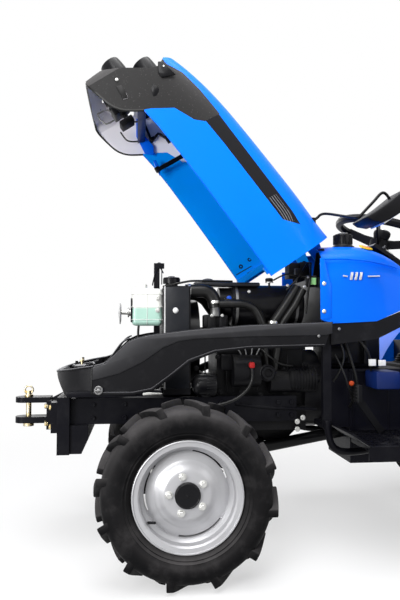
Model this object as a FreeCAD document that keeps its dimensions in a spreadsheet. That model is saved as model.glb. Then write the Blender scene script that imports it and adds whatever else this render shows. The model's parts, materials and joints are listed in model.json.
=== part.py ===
import FreeCAD, Part
import Sketcher
import math
import os
from types import SimpleNamespace

from FreeCAD import Placement, Rotation, Vector

# Compact four-wheel-drive tractor with a tilting hood, shown with the hood up.
# Frame: +X is the tractor's left, -Y is forward, +Z is up, millimetres.
# The origin lies on the ground under the middle of the overall box.

doc = FreeCAD.newDocument("compact_tractor")


# ---------------------------------------------------------------- dimensions
# The driving dimensions, one spreadsheet row each: a name and a plain number.
DRIVING = {
    "overall_length": 2590,
    "front_overhang": 612,
    "wheelbase": 1420,
    "front_track": 890,
    "rear_track": 900,
    "front_tyre_radius": 287,
    "front_tyre_width": 145,
    "front_rim_radius": 171,
    "rear_tyre_radius": 435,
    "rear_tyre_width": 210,
    "rear_rim_radius": 245,
    "kingpin_spread": 700,
    "steering_arm": 110,
    "rail_spread": 340,
    "rail_top": 547,
    "rail_height": 91,
    "hood_open_angle": 56.5,
    "hood_hinge_back": 542,
    "hood_hinge_height": 1070,
    "sheet": 3,
    "fairing_half_width": 300,
    "cowl_half_width": 272,
    "cowl_front": 496,
    "cowl_base": 828,
    "cowl_top": 1110,
    "steering_wheel_radius": 178,
    "steering_wheel_back": 846,
    "steering_wheel_height": 1190,
    "steering_wheel_tilt": 15,
    "floor_height": 412,
    "fender_radius": 490,
    "fender_inner": 326,
    "fender_outer": 552,
    "seat_height": 800,
    "rops_spread": 580,
    "rops_back": 1530,
    "rops_hinge_height": 1180,
    "rops_height": 2010,
    "rops_tube": 50,
    "lift_shaft_back": 1560,
    "lift_shaft_height": 678,
    "lift_arm_length": 200,
    "link_pivot_back": 1340,
    "link_pivot_height": 300,
    "pto_height": 430,
}


class Size:
    """A number together with the spreadsheet expression that gives it."""

    def __init__(self, value, text):
        self.value = float(value)
        self.text = text

    def __add__(self, other):
        return Size(self.value + number(other), f"({self.text} + {text(other)})")

    def __radd__(self, other):
        return Size(number(other) + self.value, f"({text(other)} + {self.text})")

    def __sub__(self, other):
        return Size(self.value - number(other), f"({self.text} - {text(other)})")

    def __rsub__(self, other):
        return Size(number(other) - self.value, f"({text(other)} - {self.text})")

    def __mul__(self, other):
        return Size(self.value * number(other), f"({self.text} * {text(other)})")

    __rmul__ = __mul__

    def __truediv__(self, other):
        return Size(self.value / number(other), f"({self.text} / {text(other)})")

    def __neg__(self):
        return Size(-self.value, f"(0 - {self.text})")


def number(size):
    return size.value if isinstance(size, Size) else float(size)


def text(size):
    return size.text if isinstance(size, Size) else repr(float(size))


def make_sheet():
    sheet = doc.addObject("Spreadsheet::Sheet", "dims")
    sizes = {}
    for row, (alias, value) in enumerate(DRIVING.items(), start=1):
        sheet.set(f"A{row}", alias)
        sheet.set(f"B{row}", str(value))
        sheet.setAlias(f"B{row}", alias)
        sizes[alias] = Size(value, f"dims.{alias}")
    doc.recompute()
    return SimpleNamespace(**sizes)


dims = make_sheet()
front_axle_y = dims.front_overhang - dims.overall_length / 2
rear_axle_y = front_axle_y + dims.wheelbase


def back(distance):
    """The Y of a point the given distance behind the front axle."""
    return front_axle_y + distance


# ------------------------------------------------------------------- helpers
X_AXIS = Vector(1, 0, 0)
Y_AXIS = Vector(0, 1, 0)
Z_AXIS = Vector(0, 0, 1)
UPRIGHT = Rotation()
ALONG_X = Rotation(Y_AXIS, 90)

sub_parts = []


def point(at):
    return Vector(*(number(value) for value in at))


def bind(obj, prop, size):
    """Ties one property to the sheet, or sets it where the size is a plain number."""
    setattr(obj, prop, number(size))
    if isinstance(size, Size):
        obj.setExpression(prop, size.text)


def place(obj, at, rotation=UPRIGHT):
    obj.Placement = Placement(point(at), rotation)
    for axis, value in zip("xyz", at):
        if isinstance(value, Size):
            obj.setExpression(f"Placement.Base.{axis}", value.text)


def block(x, y, z):
    """A box between two values on each axis."""
    box = doc.addObject("Part::Box", "block")
    bind(box, "Length", x[1] - x[0])
    bind(box, "Width", y[1] - y[0])
    bind(box, "Height", z[1] - z[0])
    place(box, (x[0], y[0], z[0]))
    return box


def bar(start, end, radius):
    """A round bar between two points."""
    run = point(end) - point(start)
    cylinder = doc.addObject("Part::Cylinder", "bar")
    bind(cylinder, "Radius", radius)
    cylinder.Height = run.Length
    place(cylinder, start, Rotation(Z_AXIS, run))
    return cylinder


def strap(start, end, width, thickness, across=X_AXIS):
    """A flat bar between two points, its width square to its run and to across."""
    run = point(end) - point(start)
    box = doc.addObject("Part::Box", "strap")
    box.Length = width
    box.Width = thickness
    box.Height = run.Length
    turn = Rotation(run.cross(across), across, run, "ZYX")
    middle = turn.multVec(Vector(width / 2, thickness / 2, 0))
    box.Placement = Placement(point(start) - middle, turn)
    return box


def joined(objects, shape="Part::MultiFuse"):
    fuse = doc.addObject(shape, "joined")
    fuse.Shapes = objects
    return fuse


def cut(base, tool):
    result = doc.addObject("Part::Cut", "cut")
    result.Base = base
    result.Tool = tool
    return result


def ring(start, end, outer, inner):
    """A round tube between two points."""
    run = point(end) - point(start)
    over = run.normalize() * 1
    wide_start = [number(value) - shift for value, shift in zip(start, over)]
    wide_end = [number(value) + shift for value, shift in zip(end, over)]
    return cut(bar(start, end, outer), bar(wide_start, wide_end, inner))


def mirrored(obj):
    """The same piece on the other side of the middle plane."""
    twin = doc.addObject("Part::Mirroring", "mirrored")
    twin.Source = obj
    twin.Normal = X_AXIS
    twin.Base = Vector(0, 0, 0)
    return twin


def both_sides(obj):
    return [obj, mirrored(obj)]


def sub_part(label, objects):
    """Names one sub-part: a single object, or several fused into one."""
    objects = objects if isinstance(objects, list) else [objects]
    whole = objects[0] if len(objects) == 1 else joined(objects)
    whole.Label = label
    sub_parts.append(whole)
    return whole


def origin_plane(body, role):
    return next(item for item in body.Origin.OriginFeatures if item.Role == role)


def outline_sketch(body, role, points):
    """A closed outline whose corners are held by dimensions, some from the sheet."""
    sketch = body.newObject("Sketcher::SketchObject", "outline")
    sketch.AttachmentSupport = [(origin_plane(body, role), "")]
    sketch.MapMode = "FlatFace"
    corners = [Vector(number(u), number(v), 0) for u, v in points]
    edges = [
        Part.LineSegment(corner, corners[(index + 1) % len(corners)])
        for index, corner in enumerate(corners)
    ]
    sketch.addGeometry(edges, False)
    for index, corner in enumerate(points):
        following = (index + 1) % len(points)
        sketch.addConstraint(Sketcher.Constraint("Coincident", index, 2, following, 1))
        for kind, value in zip(("DistanceX", "DistanceY"), corner):
            held = sketch.addConstraint(Sketcher.Constraint(kind, -1, 1, index, 1, number(value)))
            if isinstance(value, Size):
                sketch.setExpression(f"Constraints[{held}]", value.text)
    return sketch


def plate(points, x, rounding=0):
    """A plate cut from an outline of (Y, Z) points, between two values of X."""
    body = doc.addObject("PartDesign::Body", "plate")
    sketch = outline_sketch(body, "YZ_Plane", points)
    pad = body.newObject("PartDesign::Pad", "pad")
    pad.Profile = sketch
    bind(pad, "Length", x[1] - x[0])
    doc.recompute()
    if rounding:
        across = [
            f"Edge{index}"
            for index, edge in enumerate(pad.Shape.Edges, start=1)
            if abs(edge.tangentAt(edge.FirstParameter).x) > 0.99
        ]
        fillet = body.newObject("PartDesign::Fillet", "rounding")
        fillet.Base = (pad, across)
        fillet.Radius = rounding
    place(body, (x[0], 0, 0))
    return body


def turned(points, at, rotation=UPRIGHT):
    """A body turned about the X axis through at, from (X, radius) points."""
    body = doc.addObject("PartDesign::Body", "turned")
    sketch = outline_sketch(body, "XY_Plane", points)
    revolution = body.newObject("PartDesign::Revolution", "revolution")
    revolution.Profile = sketch
    revolution.ReferenceAxis = (sketch, ["H_Axis"])
    revolution.Angle = 360
    place(body, at, rotation)
    return body


def feature(name, shape, placement=None):
    solid = doc.addObject("Part::Feature", name)
    solid.Shape = shape
    if placement:
        solid.Placement = placement
    return solid


def rounded_path(points, bend):
    """Straight runs joined by tangent arcs of one bend radius, or less where runs are short."""
    edges = []
    start = points[0]
    for before, corner, after in zip(points, points[1:], points[2:]):
        run_in = (before - corner).normalize()
        run_out = (after - corner).normalize()
        half_turn = (math.pi - run_in.getAngle(run_out)) / 2
        longest = 0.45 * min(before.distanceToPoint(corner), after.distanceToPoint(corner))
        setback = min(bend * math.tan(half_turn), longest)
        radius = setback / math.tan(half_turn)
        arc_start = corner + run_in * setback
        arc_end = corner + run_out * setback
        bisector = (run_in + run_out).normalize()
        middle = corner + bisector * (radius / math.cos(half_turn) - radius)
        edges.append(Part.LineSegment(start, arc_start).toShape())
        edges.append(Part.Arc(arc_start, middle, arc_end).toShape())
        start = arc_end
    edges.append(Part.LineSegment(start, points[-1]).toShape())
    return Part.Wire(edges)


def hose(points, radius, bend):
    """A round tube along a rounded path."""
    points = [point(at) for at in points]
    path = rounded_path(points, bend)
    section = Part.Wire(Part.Circle(points[0], points[1] - points[0], radius).toShape())
    solid = path.makePipeShell([section], True, False)
    expected = math.pi * radius ** 2 * path.Length
    assert abs(solid.Volume / expected - 1) < 0.02, "hose volume"
    return feature("hose", solid)


def at_rest(feature_or_shape):
    """Turns a piece that was drawn with the hood shut to the open hood at rest."""
    hinge = Vector(0, number(hood_hinge_y), number(dims.hood_hinge_height))
    lift = Placement(Vector(0, 0, 0), Rotation(X_AXIS, -number(dims.hood_open_angle)), hinge)
    feature_or_shape.Placement = lift.multiply(feature_or_shape.Placement)
    return feature_or_shape


# --------------------------------------------------------------- front frame
# Two long rails tied by a front block, a lower tow block and an axle bolster.
rail_bottom = dims.rail_top - dims.rail_height
rail_x = (dims.rail_spread / 2 - 14, dims.rail_spread / 2)
left_rail = block(rail_x, (back(-392), back(430)), (rail_bottom, dims.rail_top))
front_block = block((-200, 200), (back(-432), back(-389)), (356, 555))
tow_block = plate(
    [
        (back(-389), 357),
        (back(-348), 357),
        (back(-325), 407),
        (back(-325), rail_bottom),
        (back(-389), rail_bottom),
    ],
    (-190, 190),
)
bolster = block((-156, 156), (back(-70), back(70)), (rail_bottom - 22, rail_bottom + 30))
deck = block((-156, 156), (back(-389), back(-60)), (dims.rail_top - 12, dims.rail_top))
engine_seat = block((-156, 156), (back(126), back(140)), (rail_bottom, rail_bottom + 38))
sub_part(
    "front_frame",
    both_sides(left_rail) + [front_block, tow_block, bolster, deck, engine_seat],
)

# The towing jaw: two lugs with rounded noses on a pair of bolted back plates.
jaw_nose_y = back(-dims.front_overhang)


def jaw_lug(low, high, rear):
    straight = block((-34, 34), (jaw_nose_y + 34, back(rear)), (low, high))
    nose = bar((0, jaw_nose_y + 34, low), (0, jaw_nose_y + 34, high), 34)
    hole = bar((0, back(-564), low - 1), (0, back(-564), high + 1), 10.5)
    return cut(joined([straight, nose]), hole)


jaw_plate = block((-60, 60), (back(-489), back(-472)), (421, 526))
base_plate = block((-110, 110), (back(-466), back(-432)), (416, 526))
spacer = block((-40, 40), (back(-472), back(-466)), (440, 505))
brace = plate([(back(-489), 526), (back(-432), 555), (back(-432), 526)], (-12, 12))
sub_part(
    "front_hitch",
    [jaw_lug(517, 537, -480), jaw_lug(441, 464, -480), jaw_plate, spacer, base_plate, brace],
)
pin = bar((0, back(-564), 427), (0, back(-564), 560), 10)
pin_collar = bar((0, back(-564), 537), (0, back(-564), 545), 16)
pin_nut = bar((0, back(-564), 427), (0, back(-564), 441), 20)
pin_ring = doc.addObject("Part::Torus", "ring")
pin_ring.Radius1 = 15
pin_ring.Radius2 = 3.5
place(pin_ring, (0, back(-564), 562), ALONG_X)
sub_part("front_hitch_pin", [pin, pin_collar, pin_nut, pin_ring])

# ---------------------------------------------------------------- front axle
axle_height = dims.front_tyre_radius
beam_height = 335
kingpin_x = dims.kingpin_spread / 2
drive_x = 40
beam = turned(
    [
        (10 - kingpin_x, 0),
        (kingpin_x - 10, 0),
        (kingpin_x - 10, 40),
        (drive_x + 105, 40),
        (drive_x + 78, 58),
        (drive_x + 30, 68),
        (drive_x - 30, 68),
        (drive_x - 78, 58),
        (drive_x - 105, 40),
        (10 - kingpin_x, 40),
    ],
    (0, front_axle_y, beam_height),
)
pinion_nose = bar((drive_x, front_axle_y, beam_height), (drive_x, back(330), beam_height), 40)
pivot_boss = bar((0, back(-60), 400), (0, back(60), 400), 34)
kingpin_case = bar((kingpin_x, front_axle_y, 292), (kingpin_x, front_axle_y, 392), 46)
front_axle = sub_part("front_axle", [beam, pinion_nose, pivot_boss] + both_sides(kingpin_case))

# The steering cylinder lies ahead of the beam; its rod pushes the left arm.
cylinder_y = back(-92)
barrel = ring((-60, cylinder_y, beam_height), (200, cylinder_y, beam_height), 22, 9.3)
barrel_ends = [
    ring((x, cylinder_y, beam_height), (x + 16, cylinder_y, beam_height), 26, 9.3)
    for x in (-62, 184)
]
saddle = block((30, 60), (back(-77), back(-30)), (320, 350))
sub_part("steering_cylinder", cut(joined([barrel, saddle] + barrel_ends), front_axle))
rod = bar((90, cylinder_y, beam_height), (kingpin_x - 18, cylinder_y, beam_height), 9)
rod_eye = bar(
    (kingpin_x, cylinder_y, beam_height - 11), (kingpin_x, cylinder_y, beam_height + 11), 19
)
sub_part("steering_cylinder_rod", [rod, rod_eye])

# Each knuckle turns on its kingpin and carries a wheel hub and a steering arm.
tie_rod_y = front_axle_y + dims.steering_arm
track_x = dims.front_track / 2


def knuckle():
    upper = bar((kingpin_x, front_axle_y, 394), (kingpin_x, front_axle_y, 414), 40)
    web = block((kingpin_x + 51, kingpin_x + 64), (back(-36), back(36)), (240, 414))
    upper_web = block((kingpin_x, kingpin_x + 62), (back(-30), back(30)), (396, 414))
    lower_web = block((kingpin_x - 30, kingpin_x + 62), (back(-34), back(34)), (240, 268))
    lower = bar((kingpin_x, front_axle_y, 240), (kingpin_x, front_axle_y, 290), 42)
    hub = bar(
        (kingpin_x + 51, front_axle_y, axle_height), (track_x + 2, front_axle_y, axle_height), 40
    )
    arm = block((kingpin_x - 16, kingpin_x + 16), (front_axle_y, tie_rod_y + 18), (242, 262))
    return [upper, web, upper_web, lower_web, lower, hub, arm]


arm_x = (kingpin_x - 10, kingpin_x + 15)
front_arm = block(arm_x, (cylinder_y - 20, back(-60)), (348, 362))
arm_riser = block(arm_x, (back(-73), back(-60)), (348, 414))
arm_root = block(arm_x, (back(-73), back(-20)), (396, 414))
sub_part("left_knuckle", knuckle() + [front_arm, arm_riser, arm_root])
sub_part("right_knuckle", [mirrored(piece) for piece in knuckle()])
tie_rod = bar((-kingpin_x, tie_rod_y, 226), (kingpin_x, tie_rod_y, 226), 11)
tie_ends = [
    bar((side * kingpin_x, tie_rod_y, 211), (side * kingpin_x, tie_rod_y, 240.5), 17)
    for side in (-1, 1)
]
sub_part("tie_rod", [tie_rod] + tie_ends)


# -------------------------------------------------------------------- wheels
def rim_profile(radius, seat_radius, half_width, disc_x, hub_radius, bore):
    """Half section of a pressed rim: flanges, well, and a disc with a raised middle."""
    well = seat_radius - 14
    return [
        (-half_width - 8, radius),
        (-half_width - 2, radius),
        (-half_width + 2, seat_radius),
        (-half_width + 26, seat_radius - 2),
        (-half_width + 36, well),
        (half_width - 36, well),
        (half_width - 26, seat_radius - 2),
        (half_width - 2, seat_radius),
        (half_width + 2, radius),
        (half_width + 8, radius),
        (half_width + 6, seat_radius - 6),
        (half_width - 24, seat_radius - 9),
        (half_width - 34, well - 6),
        (disc_x + 12, well - 10),
        (disc_x + 14, hub_radius + 14),
        (disc_x + 30, hub_radius - 6),
        (disc_x + 30, bore),
        (disc_x + 23, bore),
        (disc_x + 23, hub_radius - 10),
        (disc_x + 7, hub_radius + 10),
        (disc_x + 4, well - 6),
        (-half_width + 34, well - 6),
        (-half_width + 24, seat_radius - 9),
        (-half_width - 6, seat_radius - 6),
    ]


def tyre_profile(radius, half_width, seat_radius, seat_half):
    """Half section of a tyre: beads on the rim seat, bulged walls, a crowned tread."""
    return [
        (-seat_half, seat_radius),
        (seat_half, seat_radius),
        (seat_half + 2, seat_radius + 24),
        (half_width, seat_radius + 62),
        (half_width - 2, radius - 42),
        (half_width - 12, radius - 14),
        (half_width * 0.5, radius - 3),
        (0, radius),
        (half_width * -0.5, radius - 3),
        (12 - half_width, radius - 14),
        (2 - half_width, radius - 42),
        (-half_width, seat_radius + 62),
        (-seat_half - 2, seat_radius + 24),
    ]


def wheel(label, at, side, tyre_size, rim_size, disc_x, hub):
    """One rim and its tyre; side is 1 on the left and -1 on the right."""
    radius, half_width = tyre_size
    rim_radius, seat_radius, seat_half = rim_size
    facing = UPRIGHT if side > 0 else Rotation(Z_AXIS, 180)
    profile = rim_profile(rim_radius, seat_radius, seat_half, disc_x, hub["flange"], hub["bore"])
    pieces = [turned(profile, at, facing)]
    inner_face = disc_x - hub["length"]
    pieces.append(
        bar(
            (at[0] + side * inner_face, at[1], at[2]),
            (at[0] + side * (disc_x + hub["cap"]), at[1], at[2]),
            hub["radius"],
        )
    )
    sub_part(f"{label}_rim", pieces)
    tyre = turned(tyre_profile(radius, half_width, seat_radius + 0.5, seat_half - 3), at, facing)
    sub_part(f"{label}_tyre", tyre)


for name, side in (("left", 1), ("right", -1)):
    wheel(
        f"front_{name}",
        (track_x * side, front_axle_y, axle_height),
        side,
        (dims.front_tyre_radius, dims.front_tyre_width / 2),
        (dims.front_rim_radius, 152, 53),
        3,
        {"flange": 88, "bore": 30, "length": 0, "cap": 46, "radius": 42},
    )
for name, side in (("left", 1), ("right", -1)):
    wheel(
        f"rear_{name}",
        (dims.rear_track / 2 * side, rear_axle_y, dims.rear_tyre_radius),
        side,
        (dims.rear_tyre_radius, dims.rear_tyre_width / 2),
        (dims.rear_rim_radius, 227, 76),
        -30,
        {"flange": 130, "bore": 40, "length": 101, "cap": 60, "radius": 62},
    )

# -------------------------------------------------------------------- engine
# One block for the engine with its sump, head, gear case and flywheel housing.
crankcase = block((-130, 110), (back(170), back(470)), (440, 740))
sump = plate(
    [(back(175), 440), (back(235), 352), (back(430), 352), (back(480), 400), (back(480), 440)],
    (-110, -2),
)
head = block((-115, 5), (back(180), back(465)), (740, 850))
rocker_cover = block((-100, 0), (back(190), back(455)), (850, 905))
gear_case = block((-140, 120), (back(140), back(170)), (470, 720))
flywheel_case = bar((0, back(470), 560), (0, back(540), 560), 150)
side_plate = block((110, 150), (back(190), back(470)), (420, 505))
starter = bar((150, back(330), 600), (150, back(500), 600), 42)
alternator = bar((165, back(190), 640), (165, back(290), 640), 58)
oil_filter = bar((110, back(92), 585), (190, back(92), 585), 37)
filter_foot = bar((60, back(97), 585), (112, back(97), 585), 17)
filter_arm = block((60, 100), (back(92), back(150)), (560, 600))
crank_pulley = bar((0, back(112), 560), (0, back(140), 560), 62)
pump_nose = bar((0, back(82), 745), (0, back(185), 745), 22)
engine = sub_part(
    "engine",
    [crankcase, sump, head, rocker_cover, gear_case, flywheel_case, side_plate, starter,
     alternator, oil_filter, filter_foot, filter_arm, crank_pulley, pump_nose],
)

# Fan on the water pump, turning inside the shroud behind the radiator.
fan_height = 745
fan_radius = 140
fan_y = back(60)
fan_hub = bar((0, fan_y - 14, fan_height), (0, fan_y + 18, fan_height), 34)


def fan_blade(degrees, pitch=30):
    turn = math.radians(degrees)
    outward = Vector(math.sin(turn), 0, math.cos(turn))
    along = Vector(math.cos(turn), 0, -math.sin(turn))
    face = Y_AXIS * math.cos(math.radians(pitch)) + along * math.sin(math.radians(pitch))
    root = Vector(0, number(fan_y), fan_height)
    return strap(tuple(root), tuple(root + outward * fan_radius), 42, 4, face)


sub_part("fan", [fan_hub] + [fan_blade(60 * count) for count in range(6)])

core = block((-200, 200), (back(-58), back(8)), (575, 948))
side_tank = block((196, 204), (back(-62), back(34)), (560, 948))
side_tanks = both_sides(side_tank)
shroud_plate = block((-196, 196), (back(8), back(30)), (590, 948))
shroud_hole = bar((0, back(0), fan_height), (0, back(60), fan_height), 156)
shroud_ring = ring((0, back(28), fan_height), (0, back(74), fan_height), 162, 156)
filler = bar((60, back(-26), 948), (60, back(-26), 966), 24)
filler_cap = bar((60, back(-26), 966), (60, back(-26), 985), 33)
radiator = sub_part(
    "radiator",
    [core, cut(shroud_plate, shroud_hole), shroud_ring, filler, filler_cap] + side_tanks,
)

bottle = block((105, 185), (back(-176), back(-66)), (805, 940))
bottle_round = doc.addObject("Part::Fillet", "bottle_round")
bottle_round.Base = bottle
doc.recompute()
bottle_round.Edges = [(index, 16, 16) for index in range(1, len(bottle.Shape.Edges) + 1)]
bottle_neck = bar((130, back(-140), 938), (130, back(-140), 956), 20)
sub_part("coolant_bottle", [bottle_round, bottle_neck])

battery_case = block((-115, 115), (back(-378), back(-205)), (549, 648))
battery_posts = [
    bar((x, back(-235), 648), (x, back(-235), 662), 9) for x in (-80, 80)
]
hold_down = block((-132, 132), (back(-382), back(-366)), (648, 652))
hold_studs = [bar((x, back(-374), 549), (x, back(-374), 678), 5) for x in (-123, 123)]
sub_part("battery", [battery_case, hold_down] + battery_posts + hold_studs)

# Air cleaner canister lying along the engine, with its inlet elbow.
canister = bar((85, back(196), 884), (85, back(466), 884), 76)
canister_neck = bar((85, back(150), 892), (85, back(197), 892), 58)
canister_lid = bar((85, back(200), 884), (85, back(212), 884), 81)
canister_foot = block((50, 100), (back(300), back(360)), (740, 815))
sub_part("air_cleaner", [canister, canister_neck, canister_lid, canister_foot])

upper_hose = hose(
    [(60, back(30), 925), (60, back(72), 925), (40, back(105), 905), (-15, back(145), 860),
     (-30, back(181), 830)],
    22, 60,
)
lower_hose = hose(
    [(-150, back(30), 615), (-150, back(70), 612), (-135, back(100), 600),
     (-100, back(125), 588), (-85, back(141), 585)],
    19, 60,
)
breather_hose = hose(
    [(178, back(160), 894), (178, back(235), 888), (178, back(290), 860),
     (160, back(318), 790), (145, back(322), 635)],
    12, 90,
)
heater_hose = hose(
    [(190, back(452), 940), (190, back(420), 880), (186, back(372), 812), (150, back(352), 640)],
    15, 90,
)
all_hoses = joined([upper_hose, lower_hose, breather_hose, heater_hose])
sub_part("coolant_hoses", cut(cut(all_hoses, engine), radiator))


# --------------------------------------------------------------------- hood
hood_hinge_y = back(dims.hood_hinge_back)


def arch(y, half_width, foot, spring, crown, power=3.9, steps=9):
    """A closed section: straight sides up to spring, then a superellipse roof."""
    roof = []
    for step in range(-steps, steps + 1):
        turn = math.radians(90 * step / steps)
        across = half_width * math.copysign(abs(math.sin(turn)) ** (2 / power), step)
        up = spring + (crown - spring) * math.cos(turn) ** (2 / power)
        roof.append(Vector(across, y, up))
    roof[0] = Vector(-half_width, y, spring)
    roof[-1] = Vector(half_width, y, spring)
    curve = Part.BSplineCurve()
    curve.interpolate(roof)
    corners = [Vector(half_width, y, foot), Vector(-half_width, y, foot)]
    lines = [
        Part.LineSegment(roof[-1], corners[0]),
        Part.LineSegment(corners[0], corners[1]),
        Part.LineSegment(corners[1], roof[0]),
    ]
    return Part.Wire([curve.toShape()] + [line.toShape() for line in lines])


def loft(wires):
    return Part.makeLoft(wires, True, False)


def extruded_outline(points, x):
    """A prism along X from an outline of (Y, Z) points."""
    corners = [Vector(x[0], number(y), number(z)) for y, z in points]
    face = Part.Face(Part.makePolygon(corners + corners[:1]))
    return face.extrude(Vector(x[1] - x[0], 0, 0))


def nose_plan(center, reach, half_width, rear, inset, bluntness=0.8):
    """A prism whose front is a superellipse in plan; a lower bluntness is squarer."""
    front = []
    for step in range(-12, 13):
        turn = math.radians(90 * step / 12)
        across = (half_width - inset) * math.copysign(abs(math.sin(turn)) ** bluntness, step)
        ahead = (reach - inset) * math.cos(turn) ** bluntness
        front.append(Vector(across, number(back(center)) - ahead, 500))
    curve = Part.BSplineCurve()
    curve.interpolate(front)
    corners = [front[-1], Vector(front[-1].x, number(back(rear)), 500)]
    corners += [Vector(front[0].x, number(back(rear)), 500), front[0]]
    lines = [Part.LineSegment(a, b).toShape() for a, b in zip(corners, corners[1:])]
    face = Part.Face(Part.Wire([curve.toShape()] + lines))
    return face.extrude(Vector(0, 0, 900))


# Stations of the shut hood: distance back, half width and crown height.
HOOD_STATIONS = [
    (490, 287, 1128),
    (330, 282, 1117),
    (170, 276, 1104),
    (10, 269, 1088),
    (-130, 265, 1070),
    (-250, 262, 1045),
    (-350, 258, 1012),
    (-480, 250, 935),
]
HOOD_BOTTOM = [
    (490, 828), (314, 821), (90, 809), (-57, 799), (-171, 788), (-241, 776), (-263, 735),
    (-285, 707), (-316, 685), (-367, 671), (-428, 656),
]
HOOD_FRONT = [
    (-446, 664), (-464, 733), (-432, 763), (-400, 813), (-360, 878), (-352, 912),
    (-376, 946), (-368, 980), (-335, 1015), (-290, 1200),
]
NOSE_REGION = [
    (-97, 938), (-96, 1005), (-206, 994), (-293, 975), (-345, 940), (-540, 925),
    (-540, 600), (-247, 600), (-247, 768), (-234, 800), (-193, 872), (-122, 908),
]


def hood_solid(inset):
    """The closed hood form, or the same form smaller by inset and open below and behind."""
    stretch = 4 * inset
    sections = [
        arch(number(back(y + (inset if y > 400 else 0))), half - inset, 560, 800, crown - inset)
        for y, half, crown in HOOD_STATIONS
    ]
    side = [(back(y + (stretch if y > 400 else 0)), z - stretch) for y, z in HOOD_BOTTOM]
    side += [(back(y + inset), z) for y, z in HOOD_FRONT] + [(back(490 + stretch), 1200)]
    plan = nose_plan(-150, 340, 302, 520 + stretch, inset, 0.6)
    return loft(sections).common(extruded_outline(side, (-330, 330))).common(plan)


def hood_shell():
    return hood_solid(0).cut(hood_solid(number(dims.sheet)))


hood_form = hood_shell()
nose_region = extruded_outline([(back(y), z) for y, z in NOSE_REGION], (-330, 330))
lamp_windows = [
    Part.makeBox(96, 160, 62, Vector(x, number(back(-500)), z))
    for x in (-205, 109)
    for z in (765, 862)
]
grille_window = Part.makeBox(150, 130, 150, Vector(-75, number(back(-500)), 720))
nose_form = hood_form.common(nose_region)
for window in lamp_windows + [grille_window]:
    nose_form = nose_form.cut(window)
sub_part("hood_nose", at_rest(feature("hood_nose", nose_form)))

hinge_arm_points = [
    (460, 1117), (460, 1085), (495, 1046), (555, 1052), (560, 1088), (500, 1102), (480, 1117),
]
hinge_pin_bore = Part.makeCylinder(
    8.3, 300, Vector(-150, number(hood_hinge_y), number(dims.hood_hinge_height)), X_AXIS
)
hinge_arms = [
    extruded_outline([(back(y), z) for y, z in hinge_arm_points], (x, x + 6)).cut(hinge_pin_bore)
    for x in (-104, 98)
]
rib = hood_solid(1.5).common(
    Part.makeBox(700, 26, 700, Vector(-350, number(back(452)), 600))
).cut(hood_solid(20))
shell_form = hood_form.cut(nose_region)
shell_form = shell_form.fuse(hinge_arms + [rib])
sub_part("hood_shell", at_rest(feature("hood_shell", shell_form)))

lamp_bodies = [
    Part.makeBox(80, 46, 58, Vector(x, number(back(-428 + 36 * row)), 767 + 97 * row))
    for x in (-191, 111)
    for row in (0, 1)
]
lamps_form = Part.makeCompound(lamp_bodies)
sub_part("headlamps", at_rest(feature("headlamps", lamps_form)))

# The mirror stands on a bent stay that is clamped to the hood's rear left shoulder.
mirror_x = 400
stay = hose(
    [(185, back(425), 1116), (190, back(432), 1150), (262, back(470), 1195),
     (300, back(476), 1215), (380, back(474), 1320), (mirror_x, back(500), 1322)],
    5, 30,
)
mirror_head = Part.makeBox(150, 34, 250, Vector(mirror_x - 60, number(back(500)), 1190))
stay_foot = Part.makeBox(40, 40, 14, Vector(165, number(back(405)), 1104))
mirror_form = stay.Shape.fuse([mirror_head, stay_foot]).cut(hood_solid(0))
doc.removeObject(stay.Name)
sub_part("mirror", at_rest(feature("mirror", mirror_form)))

# ---------------------------------------------------------- front body trim
FAIRING_TOP = [
    (-306, 667), (-263, 680), (-228, 714), (-190, 750), (-160, 764), (-113, 774),
    (24, 791), (231, 808), (527, 819),
]
FAIRING_BOTTOM = [
    (497, 732), (230, 726), (109, 713), (23, 679), (-45, 626), (-105, 584), (-169, 572),
    (-304, 574),
]
side_outline = [(back(y), z) for y, z in FAIRING_TOP + FAIRING_BOTTOM]
half_width = number(dims.fairing_half_width)
wall = extruded_outline(side_outline, (half_width - 4, half_width))
top_flange_outline = FAIRING_TOP[1:] + [(y, z - 4) for y, z in reversed(FAIRING_TOP[1:])]
top_flange = extruded_outline(
    [(back(y), z) for y, z in top_flange_outline], (half_width - 26, half_width - 2)
)
fairing_left = wall.fuse(top_flange)
fairing_right = fairing_left.mirror(Vector(0, 0, 0), X_AXIS)
fairings = Part.makeCompound([fairing_left, fairing_right])
sub_part("side_fairings", feature("side_fairings", fairings))

TRAY_SIDE = [
    (-306, 668), (-380, 655), (-430, 645), (-452, 638), (-404, 563), (-306, 574),
]


def tray_solid(inset):
    outline = [
        (back(y + (inset if y < -310 else 0)), z + (inset if z < 600 else 8 * inset))
        for y, z in TRAY_SIDE
    ]
    prism = extruded_outline(outline, (-330, 330))
    return prism.common(nose_plan(-200, 252, 300, 500, inset))


tray_form = tray_solid(0).cut(tray_solid(5))
tray_cut = Part.makeBox(332, 400, 200, Vector(-166, number(back(-393)), 540))
sub_part("nose_tray", feature("nose_tray", tray_form.cut(tray_cut)))

# ------------------------------------------------------------------- dash
cowl_front_y = back(dims.cowl_front)
COWL_STATIONS = [(0, 0, 0), (120, 0, 2), (220, 4, -6), (290, 10, -34), (360, 20, -90)]


def cowl_solid(inset):
    first = (-20, 0, 0) if inset else (0, 0, 0)
    stations = [first] + COWL_STATIONS[1:]
    sections = [
        arch(
            number(cowl_front_y) + along - (inset if along > 300 else 0),
            number(dims.cowl_half_width) - narrow - inset,
            number(dims.cowl_base) - 60,
            number(dims.cowl_base) + 30,
            number(dims.cowl_top) + rise - inset,
        )
        for along, narrow, rise in stations
    ]
    return loft(sections)


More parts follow.
